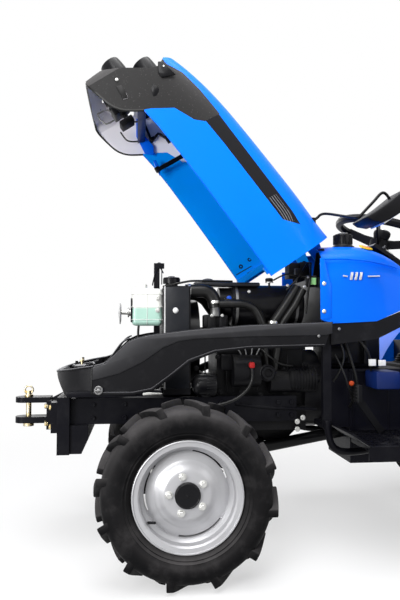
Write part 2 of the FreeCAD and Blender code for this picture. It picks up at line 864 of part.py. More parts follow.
cowl_side = [
    (back(506), 1400), (back(506), 1040), (cowl_front_y, 1030),
    (cowl_front_y, dims.cowl_base - 2), (back(536), dims.cowl_base - 15),
    (back(700), dims.cowl_base - 7), (back(790), dims.cowl_base + 30),
    (back(860), dims.cowl_base + 70), (back(860), 1400),
]
cowl_form = cowl_solid(0).cut(cowl_solid(number(dims.sheet)))
cowl_form = cowl_form.common(extruded_outline(cowl_side, (-330, 330)))
hinge_notch = Part.makeBox(270, 90, 200, Vector(-135, number(back(490)), 1040))
cap_x, cap_y = 120, back(632)
filler_hole = Part.makeCylinder(28, 80, Vector(cap_x, number(cap_y), 1060))
tilt = number(dims.steering_wheel_tilt)
wheel_y = back(dims.steering_wheel_back)
wheel_z = dims.steering_wheel_height
wheel_center = point((0, wheel_y, wheel_z))
column_run = Vector(0, -math.sin(math.radians(tilt)), -math.cos(math.radians(tilt)))
column_hole = Part.makeCylinder(28, 360, wheel_center, column_run)
cowl_form = cowl_form.cut([hinge_notch, filler_hole, column_hole])
sub_part("dash_cowl", feature("dash_cowl", cowl_form))

skirt_points = [
    (back(530), 813), (back(700), 821), (back(790), 857), (back(790), 800), (back(700), 757),
    (back(530), 737),
]
skirt = plate(skirt_points, (dims.cowl_half_width - 7, dims.cowl_half_width - 4))
dash_panel = plate(
    [(back(740), 1112), (back(868), 1030), (back(868), 1046), (back(752), 1122)],
    (-150, 150),
)
panel_hole = bar(tuple(wheel_center), tuple(wheel_center + column_run * 300), 28)
sub_part("dash_trim", both_sides(skirt) + [cut(dash_panel, panel_hole)])

cap_neck = bar((cap_x, cap_y, 1080), (cap_x, cap_y, 1118), 27)
cap = bar((cap_x, cap_y, 1118), (cap_x, cap_y, 1160), 36)
sub_part("fuel_cap", [cap_neck, cap])

# Steel frame behind the engine: posts, cross rails, firewall and hood hinge lugs.
post = block((238, 262), (back(502), back(532)), (440, 812))
cross_rail = block((-262, 262), (back(502), back(532)), (740, 765))
firewall = block((-236, 236), (back(510), back(514)), (765, 985))
hinge_lug = plate(
    [(back(512), 980), (back(575), 980), (back(562), 1086), (back(528), 1086)],
    (110, 118),
)
lug_shelf = block((-150, 150), (back(512), back(575)), (976, 984))
hinge_pin = bar(
    (94, hood_hinge_y, dims.hood_hinge_height), (124, hood_hinge_y, dims.hood_hinge_height), 8
)
post_foot = block((150, 262), (back(502), back(532)), (440, 460))
catch_post = block((-12, 12), (back(-92), back(-70)), (560, 1040))
catch_hook = block((-12, 12), (back(-92), back(-52)), (1030, 1050))
sub_part(
    "cowl_frame",
    both_sides(post) + [cross_rail, firewall, lug_shelf]
    + both_sides(hinge_lug) + both_sides(hinge_pin) + both_sides(post_foot),
)
sub_part("hood_catch", [catch_post, catch_hook])

# Steering column and wheel, both square to the tilted steering axis.
hub_top = wheel_center + column_run * 40
hub_bottom = wheel_center + column_run * 78
column = bar(tuple(hub_bottom + column_run * 1), tuple(wheel_center + column_run * 330), 26)
shaft = bar(tuple(wheel_center + column_run * 300), tuple(wheel_center + column_run * 420), 14)
column_boss = block((-40, 40), (back(700), back(830)), (772, 800))
sub_part("steering_column", [column, shaft, column_boss])
steering_rim = doc.addObject("Part::Torus", "rim")
bind(steering_rim, "Radius1", dims.steering_wheel_radius)
steering_rim.Radius2 = 13
place(steering_rim, (0, wheel_y, wheel_z), Rotation(X_AXIS, -tilt))
wheel_turn = Rotation(X_AXIS, -tilt)
spokes = []
for turn in (90, 210, 330):
    outward = Vector(math.cos(math.radians(turn)), math.sin(math.radians(turn)), 0)
    tip = wheel_center + wheel_turn.multVec(outward * (number(dims.steering_wheel_radius) - 4))
    root = wheel_center + column_run * 52 + wheel_turn.multVec(outward * 20)
    edgewise = wheel_turn.multVec(Vector(-outward.y, outward.x, 0))
    spokes.append(strap(tuple(root), tuple(tip), 34, 7, edgewise))
hub_disc = bar(tuple(hub_top), tuple(hub_bottom), 40)
sub_part("steering_wheel", [steering_rim, hub_disc] + spokes)

# ---------------------------------------------------------- rear of the tractor
clutch_case = block((-120, 120), (back(541), back(650)), (420, 640))
gear_case_long = block((-125, 125), (back(650), back(1290)), (285, 640))
rear_case = block((-150, 150), (back(1290), back(1600)), (300, 640))
pto_guard = block((-80, 80), (back(1600), back(1680)), (505, 513))
lift_y = back(dims.lift_shaft_back)
lift_z = dims.lift_shaft_height
lift_case_block = block((-110, 110), (back(1440), back(1600)), (640, 715))
lift_case = cut(lift_case_block, bar((-120, lift_y, lift_z), (120, lift_y, lift_z), 17.4))
gearbox = sub_part(
    "gearbox_housing",
    [clutch_case, gear_case_long, rear_case, pto_guard, lift_case],
)
drive_tube = bar((drive_x, back(326), beam_height), (drive_x, back(656), beam_height + 57), 22)
sub_part("front_drive_tube", cut(cut(drive_tube, front_axle), gearbox))
wheel_height = dims.rear_tyre_radius
trumpet = bar((150, rear_axle_y, wheel_height), (306, rear_axle_y, wheel_height), 58)
trumpet_flange = bar((306, rear_axle_y, wheel_height), (318, rear_axle_y, wheel_height), 84)
axle_pad = block((210, 300), (back(1380), back(1540)), (470, 500))
sub_part("rear_axle_housing", both_sides(trumpet) + both_sides(trumpet_flange) + both_sides(axle_pad))

pto_shaft = bar((0, back(1601), dims.pto_height), (0, back(1672), dims.pto_height), 17.5)
sub_part("pto_shaft", pto_shaft)

hanger = block((-60, 60), (back(1500), back(1560)), (262, 300))
drawbar = block((-30, 30), (back(1330), back(1800)), (241, 262))
drawbar_hole = bar((0, back(1770), 230), (0, back(1770), 270), 11)
sub_part("drawbar", [cut(drawbar, drawbar_hole), hanger])

# Foot platforms: a pressed floor, a sloped toe board and an outer step flange.
floor_z = dims.floor_height
floor_plate = block((152, 452), (back(600), back(958)), (floor_z - 5, floor_z))
toe_board = plate(
    [(back(534), 452), (back(604), floor_z - 5), (back(604), floor_z), (back(534), 460)],
    (152, 452),
)
floor_flange = block((447, 452), (back(590), back(958)), (floor_z - 46, floor_z))
front_beam = block((125, 447), (back(652), back(692)), (floor_z - 46, floor_z - 5))
rear_beam = block((125, 447), (back(900), back(940)), (floor_z - 46, floor_z - 5))
platforms = sub_part(
    "foot_platforms",
    both_sides(floor_plate) + both_sides(toe_board) + both_sides(floor_flange)
    + both_sides(front_beam) + both_sides(rear_beam),
)


def pedal(x, pad_y, pad_z):
    pad = block((x - 32, x + 32), (back(pad_y), back(pad_y + 12)), (pad_z - 30, pad_z + 30))
    foot = (x, back(pad_y + 96), dims.floor_height + 4)
    arm = strap((x, back(pad_y + 8), pad_z - 20), foot, 26, 8)
    return [pad, arm]


pedal_set = [piece for x in (215, -195, -272) for piece in pedal(x, 640, 560)]
sub_part("pedals", cut(joined(pedal_set), platforms))

main_lever = bar((74, back(939), 646), (96, back(985), 880), 7)
main_knob = bar((96, back(985), 880), (101, back(995), 930), 19)
range_lever = bar((-76, back(957), 646), (-100, back(990), 850), 7)
range_knob = bar((-100, back(990), 850), (-105, back(998), 895), 17)
tunnel_cover = block((-130, 130), (back(880), back(1035)), (640, 652))
sub_part("gear_levers", [main_lever, main_knob, range_lever, range_knob, tunnel_cover])

# Fenders: an arched top over each rear tyre with a flat inner wall.
fender_x = (number(dims.fender_inner), number(dims.fender_outer))
arch_radius = number(dims.fender_radius)
fender_center = Vector(0, number(rear_axle_y), number(dims.rear_tyre_radius))


def fender_arc(radius, degrees):
    angle = math.radians(degrees)
    return fender_center + Vector(0, -radius * math.cos(angle), radius * math.sin(angle))


def fender_section(radius, start, stop):
    return Part.Arc(
        fender_arc(radius, start), fender_arc(radius, (start + stop) / 2), fender_arc(radius, stop)
    ).toShape()


def fender():
    start, stop = 12, 150
    outer = fender_section(arch_radius, start, stop)
    inner = fender_section(arch_radius - 3, start, stop)
    ends = [
        Part.LineSegment(fender_arc(arch_radius, at), fender_arc(arch_radius - 3, at)).toShape()
        for at in (start, stop)
    ]
    band = Part.Face(Part.Wire([outer, ends[1], inner, ends[0]]))
    top = band.extrude(Vector(fender_x[1] - fender_x[0], 0, 0))
    chord = Part.LineSegment(fender_arc(arch_radius, stop), fender_arc(arch_radius, start))
    wall_face = Part.Face(Part.Wire([outer, chord.toShape()]))
    inner_wall = wall_face.extrude(Vector(3, 0, 0))
    whole = top.fuse(inner_wall)
    whole.translate(Vector(fender_x[0], 0, 0))
    return whole


left_fender = fender()
right_fender = left_fender.mirror(Vector(0, 0, 0), X_AXIS)
fenders = sub_part(
    "fenders", feature("fenders", Part.makeCompound([left_fender, right_fender]))
)
rear_lamp = block((450, 530), (back(1852), back(1880)), (668, 712))
lamp_bracket = block((486, 494), (back(1838), back(1853)), (650, 700))
lamp_set = joined(both_sides(rear_lamp) + both_sides(lamp_bracket))
sub_part("rear_lamps", cut(lamp_set, fenders))

seat_deck = block((-326, 326), (back(1040), back(1500)), (735, 741))
deck_leg = block((160, 200), (back(1330), back(1370)), (500, 735))
deck_front = block((-322, 322), (back(1036), back(1040)), (655, 741))
deck_front_leg = block((70, 110), (back(1040), back(1090)), (640, 735))
seat_spring = block((-140, 140), (back(1110), back(1360)), (741, dims.seat_height - 8))
seat_pan = block((-205, 205), (back(1060), back(1440)), (dims.seat_height - 8, dims.seat_height))
pan_back = plate(
    [(back(1428), 800), (back(1440), 800), (back(1502), 1120), (back(1492), 1122)], (-190, 190)
)
sub_part(
    "seat_base",
    [seat_deck, deck_front, seat_spring, seat_pan, pan_back]
    + both_sides(deck_leg) + both_sides(deck_front_leg),
)
cushion = plate(
    [(back(1045), 801), (back(1425), 801), (back(1415), 882), (back(1065), 898)],
    (-225, 225), 25,
)
backrest = plate(
    [(back(1359), 896), (back(1428), 884), (back(1494), 1194), (back(1424), 1200)],
    (-215, 215), 25,
)
sub_part("seat_cushions", [cushion, backrest])

# Roll-over frame: fixed posts on the axle and a hoop that folds to the rear.
rops_x = dims.rops_spread / 2
half_tube = dims.rops_tube / 2
rops_y = back(dims.rops_back)
rops_post = block(
    (rops_x - half_tube, rops_x + half_tube),
    (rops_y - half_tube, rops_y + half_tube),
    (500, dims.rops_hinge_height - 50),
)
hinge_cheek = block(
    (rops_x + half_tube + 1, rops_x + half_tube + 9),
    (rops_y - 34, rops_y + 34),
    (dims.rops_hinge_height - 130, dims.rops_hinge_height + 34),
)
cheek_spacer = block(
    (rops_x + half_tube - 2, rops_x + half_tube + 5),
    (rops_y - half_tube, rops_y + half_tube),
    (dims.rops_hinge_height - 125, dims.rops_hinge_height - 60),
)
rops_cross = block(
    (half_tube - rops_x, rops_x - half_tube),
    (rops_y + 5, rops_y + 25),
    (840, 880),
)
inner_cheek = block(
    (rops_x - half_tube - 9, rops_x - half_tube - 1),
    (rops_y - 34, rops_y + 34),
    (dims.rops_hinge_height - 130, dims.rops_hinge_height + 34),
)
inner_spacer = block(
    (rops_x - half_tube - 5, rops_x - half_tube + 2),
    (rops_y - half_tube, rops_y + half_tube),
    (dims.rops_hinge_height - 125, dims.rops_hinge_height - 60),
)
rops_pin_reach = half_tube + 9
rops_pin = bar(
    (rops_x - rops_pin_reach, rops_y, dims.rops_hinge_height),
    (rops_x + rops_pin_reach, rops_y, dims.rops_hinge_height),
    9,
)
sub_part(
    "rops_posts",
    both_sides(rops_pin) + both_sides(rops_post) + both_sides(hinge_cheek) + both_sides(cheek_spacer)
    + both_sides(inner_cheek) + both_sides(inner_spacer) + [rops_cross],
)


def hoop_path():
    half = number(rops_x)
    top = number(dims.rops_height) - number(half_tube)
    low = number(dims.rops_hinge_height) - 36
    corners = [
        Vector(-half, number(rops_y), low), Vector(-half, number(rops_y), top),
        Vector(half, number(rops_y), top), Vector(half, number(rops_y), low),
    ]
    return rounded_path(corners, 90)


tube_half = number(half_tube)
hoop_start = Vector(-number(rops_x), number(rops_y), number(dims.rops_hinge_height) - 36)


def hoop_tube(half_side):
    corners = [(-1, -1), (1, -1), (1, 1), (-1, 1), (-1, -1)]
    section = Part.makePolygon([hoop_start + Vector(u, v, 0) * half_side for u, v in corners])
    return hoop_path().makePipeShell([section], True, False)


hoop_bores = [
    Part.makeCylinder(
        9.4, 80, Vector(side * number(rops_x) - 40, number(rops_y), number(dims.rops_hinge_height)),
        X_AXIS,
    )
    for side in (-1, 1)
]
hoop = hoop_tube(tube_half).cut([hoop_tube(tube_half - 4)] + hoop_bores)
sub_part("rops_hoop", feature("rops_hoop", hoop))

# Three-point hitch: rocker arms, lift rods, lower links and a stowed top link.
drop = math.radians(25)
arm_end_y = lift_y + dims.lift_arm_length * math.cos(drop)
arm_end_z = lift_z - dims.lift_arm_length * math.sin(drop)
rocker_shaft = bar((-152, lift_y, lift_z), (152, lift_y, lift_z), 17)
lift_arm = strap((137, lift_y, lift_z), (137, arm_end_y, arm_end_z), 34, 18)
arm_eye = bar((128, arm_end_y, arm_end_z), (146, arm_end_y, arm_end_z), 20)
arm_boss = bar((126, lift_y, lift_z), (148, lift_y, lift_z), 32)
arm_pin = bar((146, arm_end_y, arm_end_z), (168, arm_end_y, arm_end_z), 9)
sub_part(
    "lift_arms",
    [rocker_shaft] + both_sides(lift_arm) + both_sides(arm_eye) + both_sides(arm_boss)
    + both_sides(arm_pin),
)

link_pivot_y = back(dims.link_pivot_back)
link_pivot_z = dims.link_pivot_height
link_tie_y, link_tie_z = back(1705), 282
ball_y, ball_z = back(1946), 270
lift_rod = bar((160, arm_end_y, arm_end_z - 18), (206, link_tie_y, link_tie_z + 12), 9)
rod_top_eye = ring((150, arm_end_y, arm_end_z), (170, arm_end_y, arm_end_z), 20, 9.4)
rod_low_eye = bar((197, link_tie_y, link_tie_z), (213, link_tie_y, link_tie_z), 20)
turnbuckle = bar(
    (176, arm_end_y - 11, arm_end_z - 105), (190, arm_end_y - 21, arm_end_z - 205), 17
)
sub_part(
    "lift_rods",
    both_sides(lift_rod) + both_sides(rod_top_eye) + both_sides(rod_low_eye)
    + both_sides(turnbuckle),
)
lower_link = strap((182, link_pivot_y, link_pivot_z), (282, ball_y, ball_z), 46, 12)
link_pin = bar((151, link_pivot_y, link_pivot_z), (190, link_pivot_y, link_pivot_z), 12)
link_eye = ring((176, link_pivot_y, link_pivot_z), (190, link_pivot_y, link_pivot_z), 34, 10)
ball_eye = ring((266, ball_y, ball_z), (300, ball_y, ball_z), 32, 11.2)
sub_part(
    "lower_links",
    both_sides(cut(lower_link, bar((260, ball_y, ball_z), (306, ball_y, ball_z), 11.2)))
    + both_sides(link_eye) + both_sides(link_pin) + both_sides(ball_eye),
)

top_bracket = block((-24, -12), (back(1600), back(1650)), (560, 640))
top_pin = bar((-24, back(1630), 590), (24, back(1630), 590), 9)
top_rod = bar((0, back(1631), 606), (0, back(1668), 1010), 12)
top_sleeve = bar((0, back(1640), 700), (0, back(1659), 905), 19)
top_eye = ring((-22, back(1670), 1030), (22, back(1670), 1030), 28, 9.7)
top_base = bar((-11, back(1630), 590), (11, back(1630), 590), 22)
clip = block((-20, 20), (back(1555), back(1655)), (846, 858))
sub_part(
    "top_link",
    [top_rod, top_sleeve, top_eye, top_base, top_pin, clip] + both_sides(top_bracket),
)

# Exhaust: a muffler lying low along the right side with a tail pipe turned down.
muffler = bar((-190, back(215), 640), (-190, back(430), 640), 52)
inlet_pipe = bar((-130, back(300), 690), (-175, back(300), 660), 20)
tail_pipe = hose([(-190, back(190), 640), (-190, back(150), 640), (-205, back(105), 620),
                  (-225, back(95), 575)], 17, 50)
tail_stub = bar((-190, back(189), 640), (-190, back(216), 640), 17)
sub_part("exhaust_muffler", cut(joined([muffler, inlet_pipe, tail_pipe, tail_stub]), engine))


# -------------------------------------------------------------------- export
def export_parts():
    doc.recompute()
    failed = [obj.Name for obj in doc.Objects if {"Invalid", "Error"} & set(obj.State)]
    assert not failed, f"failed objects: {failed}"
    os.makedirs("parts", exist_ok=True)
    for part in sub_parts:
        shape = part.Shape
        assert not shape.isNull() and shape.isValid() and shape.Volume > 0, part.Label
        shape.exportStep(f"parts/{part.Label}.step")
    box = FreeCAD.BoundBox()
    for part in sub_parts:
        box.add(part.Shape.BoundBox)
    print(f"{len(sub_parts)} sub-parts, box {box.XMin:.1f} {box.XMax:.1f} "
          f"{box.YMin:.1f} {box.YMax:.1f} {box.ZMin:.1f} {box.ZMax:.1f}")


export_parts()
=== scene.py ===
import bpy
import json
import math
from mathutils import Matrix, Vector


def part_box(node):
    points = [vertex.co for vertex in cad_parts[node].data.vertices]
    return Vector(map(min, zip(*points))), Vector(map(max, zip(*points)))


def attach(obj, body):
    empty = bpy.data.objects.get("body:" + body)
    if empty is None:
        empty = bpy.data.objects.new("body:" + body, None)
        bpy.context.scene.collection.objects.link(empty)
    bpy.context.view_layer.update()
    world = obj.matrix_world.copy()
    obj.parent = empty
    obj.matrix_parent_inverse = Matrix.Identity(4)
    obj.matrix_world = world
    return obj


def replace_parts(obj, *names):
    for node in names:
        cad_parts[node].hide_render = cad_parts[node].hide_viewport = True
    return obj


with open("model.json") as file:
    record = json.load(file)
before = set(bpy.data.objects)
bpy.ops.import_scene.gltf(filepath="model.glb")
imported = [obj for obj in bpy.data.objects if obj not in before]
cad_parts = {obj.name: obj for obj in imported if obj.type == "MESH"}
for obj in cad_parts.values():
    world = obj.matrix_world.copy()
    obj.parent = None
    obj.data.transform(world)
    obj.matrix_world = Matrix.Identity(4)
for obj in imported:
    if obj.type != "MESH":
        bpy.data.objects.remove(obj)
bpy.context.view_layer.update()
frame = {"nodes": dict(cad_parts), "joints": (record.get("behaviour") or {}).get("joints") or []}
nodes = frame["nodes"]


# -------------------------------------------------------------- camera and light
# The studio: a camera at waist height beside the left front wheel, a pale sweep of
# floor, and large soft lamps above the tractor and on both its sides.
camera_data = bpy.data.cameras.new("camera")
camera_data.sensor_width = 36
camera_data.lens = 34.32
camera = bpy.data.objects.new("camera", camera_data)
bpy.context.scene.collection.objects.link(camera)
view_yaw = math.radians(6.2)
view_pitch = math.radians(2.65)
looking = Vector((
    -math.cos(view_yaw) * math.cos(view_pitch),
    math.sin(view_yaw) * math.cos(view_pitch),
    math.sin(view_pitch),
))
camera.location = (2.246, -0.837, 0.8025)
camera.rotation_euler = looking.to_track_quat("-Z", "Y").to_euler()
bpy.context.scene.camera = camera
bpy.context.scene.view_settings.view_transform = "Standard"


class Value:
    """One value in a finish, so that a sum on values adds its Math nodes."""

    def __init__(self, finish, socket):
        self.finish = finish
        self.socket = socket

    def math(self, operation, *others):
        inputs = dict(enumerate([self, *others]))
        return self.finish.node("Math", {"operation": operation}, inputs)

    def __add__(self, other):
        return self.math("ADD", other)

    __radd__ = __add__

    def __mul__(self, other):
        return self.math("MULTIPLY", other)

    __rmul__ = __mul__

    def __sub__(self, other):
        return self.math("SUBTRACT", other)

    def __rsub__(self, other):
        return self.math("MULTIPLY_ADD", -1.0, other)

    def __truediv__(self, other):
        return self.math("DIVIDE", other)

    def __gt__(self, other):
        return self.math("GREATER_THAN", other)

    def __lt__(self, other):
        return self.math("LESS_THAN", other)

    def power(self, other):
        return self.math("POWER", other)

    def least(self, other):
        return self.math("MINIMUM", other)

    def most(self, other):
        return self.math("MAXIMUM", other)

    def sine(self):
        return self.math("SINE")

    def ramp(self, low, high):
        """0 below low, 1 above high, smooth between."""
        steps = {"Value": self, "From Min": low, "From Max": high}
        return self.finish.node("MapRange", {"interpolation_type": "SMOOTHSTEP"}, steps)


class Finish:
    """A material under construction: its nodes, its shader and its Object coordinates."""

    def __init__(self, name, **constants):
        self.material = bpy.data.materials.new(name)
        self.material.use_nodes = True
        self.tree = self.material.node_tree
        self.shader = self.tree.nodes["Principled BSDF"]
        self.place = self.node("TexCoord", output="Object")
        for label, value in constants.items():
            self.feed(self.shader.inputs[label.replace("_", " ")], value)

    def node(self, kind, settings=None, sockets=None, output=0):
        """Adds a node, sets it up, and gives one of its outputs."""
        made = self.tree.nodes.new("ShaderNode" + kind)
        for key, value in (settings or {}).items():
            setattr(made, key, value)
        for key, value in (sockets or {}).items():
            self.feed(made.inputs[key], value)
        return Value(self, made.outputs[output])

    def feed(self, socket, value):
        """Links a value to a socket, or writes a plain number or colour in it."""
        if isinstance(value, Value):
            self.tree.links.new(value.socket, socket)
        elif socket.type == "RGBA" and len(value) == 3:
            socket.default_value = (*value, 1)
        else:
            socket.default_value = value

    def set(self, **inputs):
        """Feeds the shader, and gives the finished material."""
        for label, value in inputs.items():
            self.feed(self.shader.inputs[label.replace("_", " ")], value)
        return self.material

    def up(self, low, high):
        """How far the surface faces the sky."""
        return self.axis("Z", self.node("NewGeometry", output="Normal")).ramp(low, high)

    def moved(self, location=(0, 0, 0), turn=(0, 0, 0), scale=(1, 1, 1)):
        """Object coordinates shifted, turned and scaled, as a pattern needs them."""
        turn = tuple(math.radians(angle) for angle in turn)
        sockets = {"Vector": self.place, "Location": location, "Rotation": turn, "Scale": scale}
        return self.node("Mapping", {"vector_type": "POINT"}, sockets)

    def axis(self, letter, vector=None):
        return self.node("SeparateXYZ", sockets={0: vector or self.place}, output=letter)

    def noise(self, scale, detail=2.0, rough=0.5, vector=None):
        sockets = {"Vector": vector or self.place, "Scale": scale, "Detail": detail, "Roughness": rough}
        return self.node("TexNoise", sockets=sockets, output="Fac")

    def cells(self, scale):
        return self.node("TexVoronoi", sockets={"Vector": self.place, "Scale": scale}, output="Distance")

    def mix(self, factor, first, second):
        """One colour over another."""
        return self.node("Mix", {"data_type": "RGBA"}, {0: factor, 6: first, 7: second}, output=2)

    def bump(self, height, strength, distance):
        """Relief on the surface, and its sharp edges worn two millimetres round."""
        worn = self.node("Bevel", {"samples": 4}, {"Radius": 0.002})
        sockets = {"Height": height, "Strength": strength, "Distance": distance, "Normal": worn}
        return self.node("Bump", sockets=sockets)


def floor_finish():
    """Matt white: it glows a little to the lens, more away from the machine, so it ends in white."""
    finish = Finish("pale_floor", Roughness=0.9, Specular_IOR_Level=0.1)
    speckle = finish.noise(3.0, 2.0)
    across, along = finish.axis("X"), finish.axis("Y")
    away = (across * across + along * along).power(0.5).ramp(1.0, 3.2)
    seen = finish.node("LightPath", output="Is Camera Ray")
    for kind in ("Is Glossy Ray", "Is Transmission Ray"):
        seen = seen.most(finish.node("LightPath", output=kind))
    pale = finish.mix(speckle * 0.04, (0.86, 0.86, 0.87), (0.8, 0.8, 0.81))
    finish.set(Base_Color=finish.mix(seen, (0.2, 0.2, 0.2), pale))
    white = finish.node("Emission", sockets={"Color": (1, 1, 1), "Strength": 1.0})
    matt = Value(finish, finish.shader.outputs[0])
    share = seen * (away * 0.45 + 0.55)
    both = finish.node("MixShader", sockets={0: share, 1: matt, 2: white})
    finish.feed(finish.tree.nodes["Material Output"].inputs[0], both)
    return finish.material


bpy.ops.mesh.primitive_plane_add(size=60, location=(0, 0, 0))
floor = bpy.context.object
floor.name = "floor"
floor.data.materials.append(floor_finish())


def soft_lamp(name, place, target, size, power):
    """A rectangular lamp aimed at a target."""
    data = bpy.data.lights.new(name, "AREA")
    data.shape = "RECTANGLE"
    data.size = size[0]
    data.size_y = size[1]
    data.energy = power
    lamp = bpy.data.objects.new(name, data)
    bpy.context.scene.collection.objects.link(lamp)
    lamp.location = place
    lamp.rotation_euler = (Vector(target) - Vector(place)).to_track_quat("-Z", "Y").to_euler()


soft_lamp("overhead", (0.9, -0.5, 4.0), (0, 0, 0.6), (2.4, 3.8), 160)
soft_lamp("left_side", (3.8, -2.2, 3.4), (0, -0.2, 0.9), (1.8, 1.8), 110)
soft_lamp("left_front", (2.6, -3.0, 0.9), (0, -0.3, 1.2), (1.4, 1.2), 85)
soft_lamp("left_rear", (3.4, 3.2, 2.2), (0, 0.2, 0.8), (2.0, 2.4), 40)
soft_lamp("right_side", (-4.0, -1.0, 2.6), (0, 0, 0.9), (2.6, 2.6), 60)

world = bpy.data.worlds.new("studio")
bpy.context.scene.world = world
world.use_nodes = True
sky = world.node_tree.nodes["Background"]
sky.inputs["Color"].default_value = (1, 1, 1, 1)
rays = world.node_tree.nodes.new("ShaderNodeLightPath")


def sky_math(operation, *terms):
    """A Math node in the sky's tree: each term is a number or another node's output."""
    made = world.node_tree.nodes.new("ShaderNodeMath")
    made.operation = operation
    for socket, term in zip(made.inputs, terms):
        if isinstance(term, float):
            socket.default_value = term
        else:
            world.node_tree.links.new(term, socket)
    return made.outputs[0]


seen = sky_math("MAXIMUM", rays.outputs["Is Camera Ray"], rays.outputs["Is Glossy Ray"])
seen = sky_math("MAXIMUM", seen, rays.outputs["Is Transmission Ray"])
# white where the sky is seen, and only a weak light from it on the tractor
world.node_tree.links.new(sky_math("MULTIPLY_ADD", seen, 0.84, 0.16), sky.inputs["Strength"])


# -------------------------------------------------------------------- tyres
# Farm tyres in black rubber: a moulded carcass with beads and wall rings, and
# two rows of deep slanted lugs that meet in a staggered V and run down the walls.
def deselect():
    """Leaves edit mode and selects nothing."""
    if bpy.context.mode != "OBJECT":
        bpy.ops.object.mode_set(mode="OBJECT")
    bpy.ops.object.select_all(action="DESELECT")


def only(piece):
    """Makes one object the selected and active one."""
    deselect()
    piece.select_set(True)
    bpy.context.view_layer.objects.active = piece


def settled(piece, name, smooth=35):
    """Applies a finished piece's place and gives it its name and smooth shading."""
    only(piece)
    bpy.ops.object.transform_apply(location=True, rotation=True, scale=True)
    bpy.ops.object.shade_smooth_by_angle(angle=math.radians(smooth))
    piece.name = name
    piece.data.name = name
    return piece


def one(pieces, name):
    """Joins several pieces into one mesh."""
    deselect()
    for piece in pieces:
        piece.select_set(True)
    bpy.context.view_layer.objects.active = pieces[0]
    bpy.ops.object.join()
    return settled(bpy.context.object, name)


def outward(piece):
    """Merges doubled corners and turns every face outward."""
    only(piece)
    bpy.ops.object.mode_set(mode="EDIT")
    bpy.ops.mesh.select_all(action="SELECT")
    bpy.ops.mesh.remove_doubles(threshold=0.00001)
    bpy.ops.mesh.normals_make_consistent(inside=False)
    bpy.ops.object.mode_set(mode="OBJECT")


def lathe(name, steps, sides=96):
    """A closed ring drawn out step by step along X: each step is (x, radius)."""
    deselect()
    first_x, first_radius = steps[0]
    bpy.ops.mesh.primitive_circle_add(
        vertices=sides, radius=first_radius, location=(first_x, 0, 0), rotation=(0, math.pi / 2, 0)
    )
    piece = bpy.context.object
    bpy.ops.object.transform_apply(location=True, rotation=True, scale=True)
    bpy.ops.object.mode_set(mode="EDIT")
    bpy.ops.mesh.select_all(action="SELECT")
    for (x, radius), (next_x, next_radius) in zip(steps, steps[1:] + steps[:1]):
        bpy.ops.mesh.extrude_edges_move(TRANSFORM_OT_translate={"value": (next_x - x, 0, 0)})
        grow = next_radius / radius
        bpy.ops.transform.resize(value=(1, grow, grow), center_override=(next_x, 0, 0))
    bpy.ops.object.mode_set(mode="OBJECT")
    outward(piece)
    return settled(piece, name)


def pick_faces(piece, wanted):
    """In edit mode, selects the faces whose middle and normal are wanted."""
    bpy.ops.mesh.select_all(action="DESELECT")
    bpy.ops.object.mode_set(mode="OBJECT")
    for face in piece.data.polygons:
        face.select = wanted(face.center, face.normal)
    bpy.ops.object.mode_set(mode="EDIT")


def rotation(angle, letter):
    """A turn by an angle in degrees round an axis through the origin."""
    return Matrix.Rotation(math.radians(angle), 4, letter)


def moved(piece, matrix):
    """Moves a piece on from its present place."""
    piece.matrix_world = matrix @ piece.matrix_world
    return piece


def copy_of(piece, matrix):
    """A copy with its own mesh, set elsewhere."""
    only(piece)
    bpy.ops.object.duplicate(linked=False)
    return moved(bpy.context.object, matrix)


def lug(side, tyre):
    """One lug: drawn out from the crown to the shoulder, then down the wall."""
    base, tip, half_width, slant, width, crown, foot = tyre
    deselect()
    tall = tip - base + 0.012
    bpy.ops.mesh.primitive_plane_add(
        size=1, location=(-0.006 * side, 0, tip - tall / 2), rotation=(0, math.pi / 2, 0)
    )
    piece = bpy.context.object
    piece.scale = (tall, width * 0.8, 1)
    bpy.ops.object.transform_apply(location=True, rotation=True, scale=True)
    bpy.ops.object.mode_set(mode="EDIT")
    bpy.ops.mesh.select_all(action="SELECT")
    runs = 5
    reach = half_width + 0.006
    route = []
    for run in range(runs + 1):
        far = run / runs
        along = slant * far ** 0.8
        height = math.sqrt((tip - crown * far ** 2) ** 2 - along ** 2)
        route.append(Vector((side * reach * far, along, height)))
    for here, there in zip(route, route[1:]):
        bpy.ops.mesh.extrude_region_move(TRANSFORM_OT_translate={"value": there - here})
        bpy.ops.transform.resize(value=(1, 1.05, 1))
    shoulder = half_width * 0.8
    pick_faces(piece, lambda at, normal: at.x * side > shoulder and normal.z < -0.7)
    for inward, down, grow in ((-0.001, -0.016, 0.98), (0.003, -0.016, 0.94), (0.0, foot, 0.9)):
        bpy.ops.mesh.extrude_region_move(TRANSFORM_OT_translate={"value": (side * inward, 0, down)})
        bpy.ops.transform.resize(value=(0.9, grow, 1))
    bpy.ops.object.mode_set(mode="OBJECT")
    bevel = piece.modifiers.new("rounding", "BEVEL")
    bevel.width = 0.003
    bevel.segments = 2
    only(piece)
    bpy.ops.object.modifier_apply(modifier="rounding")
    outward(piece)
    return piece


def rubber():
    """Black rubber: fine mould grain, dusty wall, browner where it has run, and paler the more it faces up as
    painted light from above.
    """
    finish = Finish("tyre_rubber", Specular_IOR_Level=0.05)
    dust = finish.noise(14.0, 6.0, 0.65).ramp(0.42, 0.75)
    fine = finish.noise(420.0, 3.0)
    return finish.set(
        # painted light: the rubber grows paler the more it faces up, besides the dusty patches
        Base_Color=finish.mix((dust * 0.3 + finish.up(-0.2, 0.9) * 0.7).least(1.0),
                              (0.004, 0.004, 0.0045), (0.06, 0.057, 0.058)),
        Roughness=dust * 0.2 + 0.5,
        Normal=finish.bump(fine + finish.noise(60.0, 4.0) * 0.6, 0.22, 0.0008),
    )


tyre_rubber = rubber()


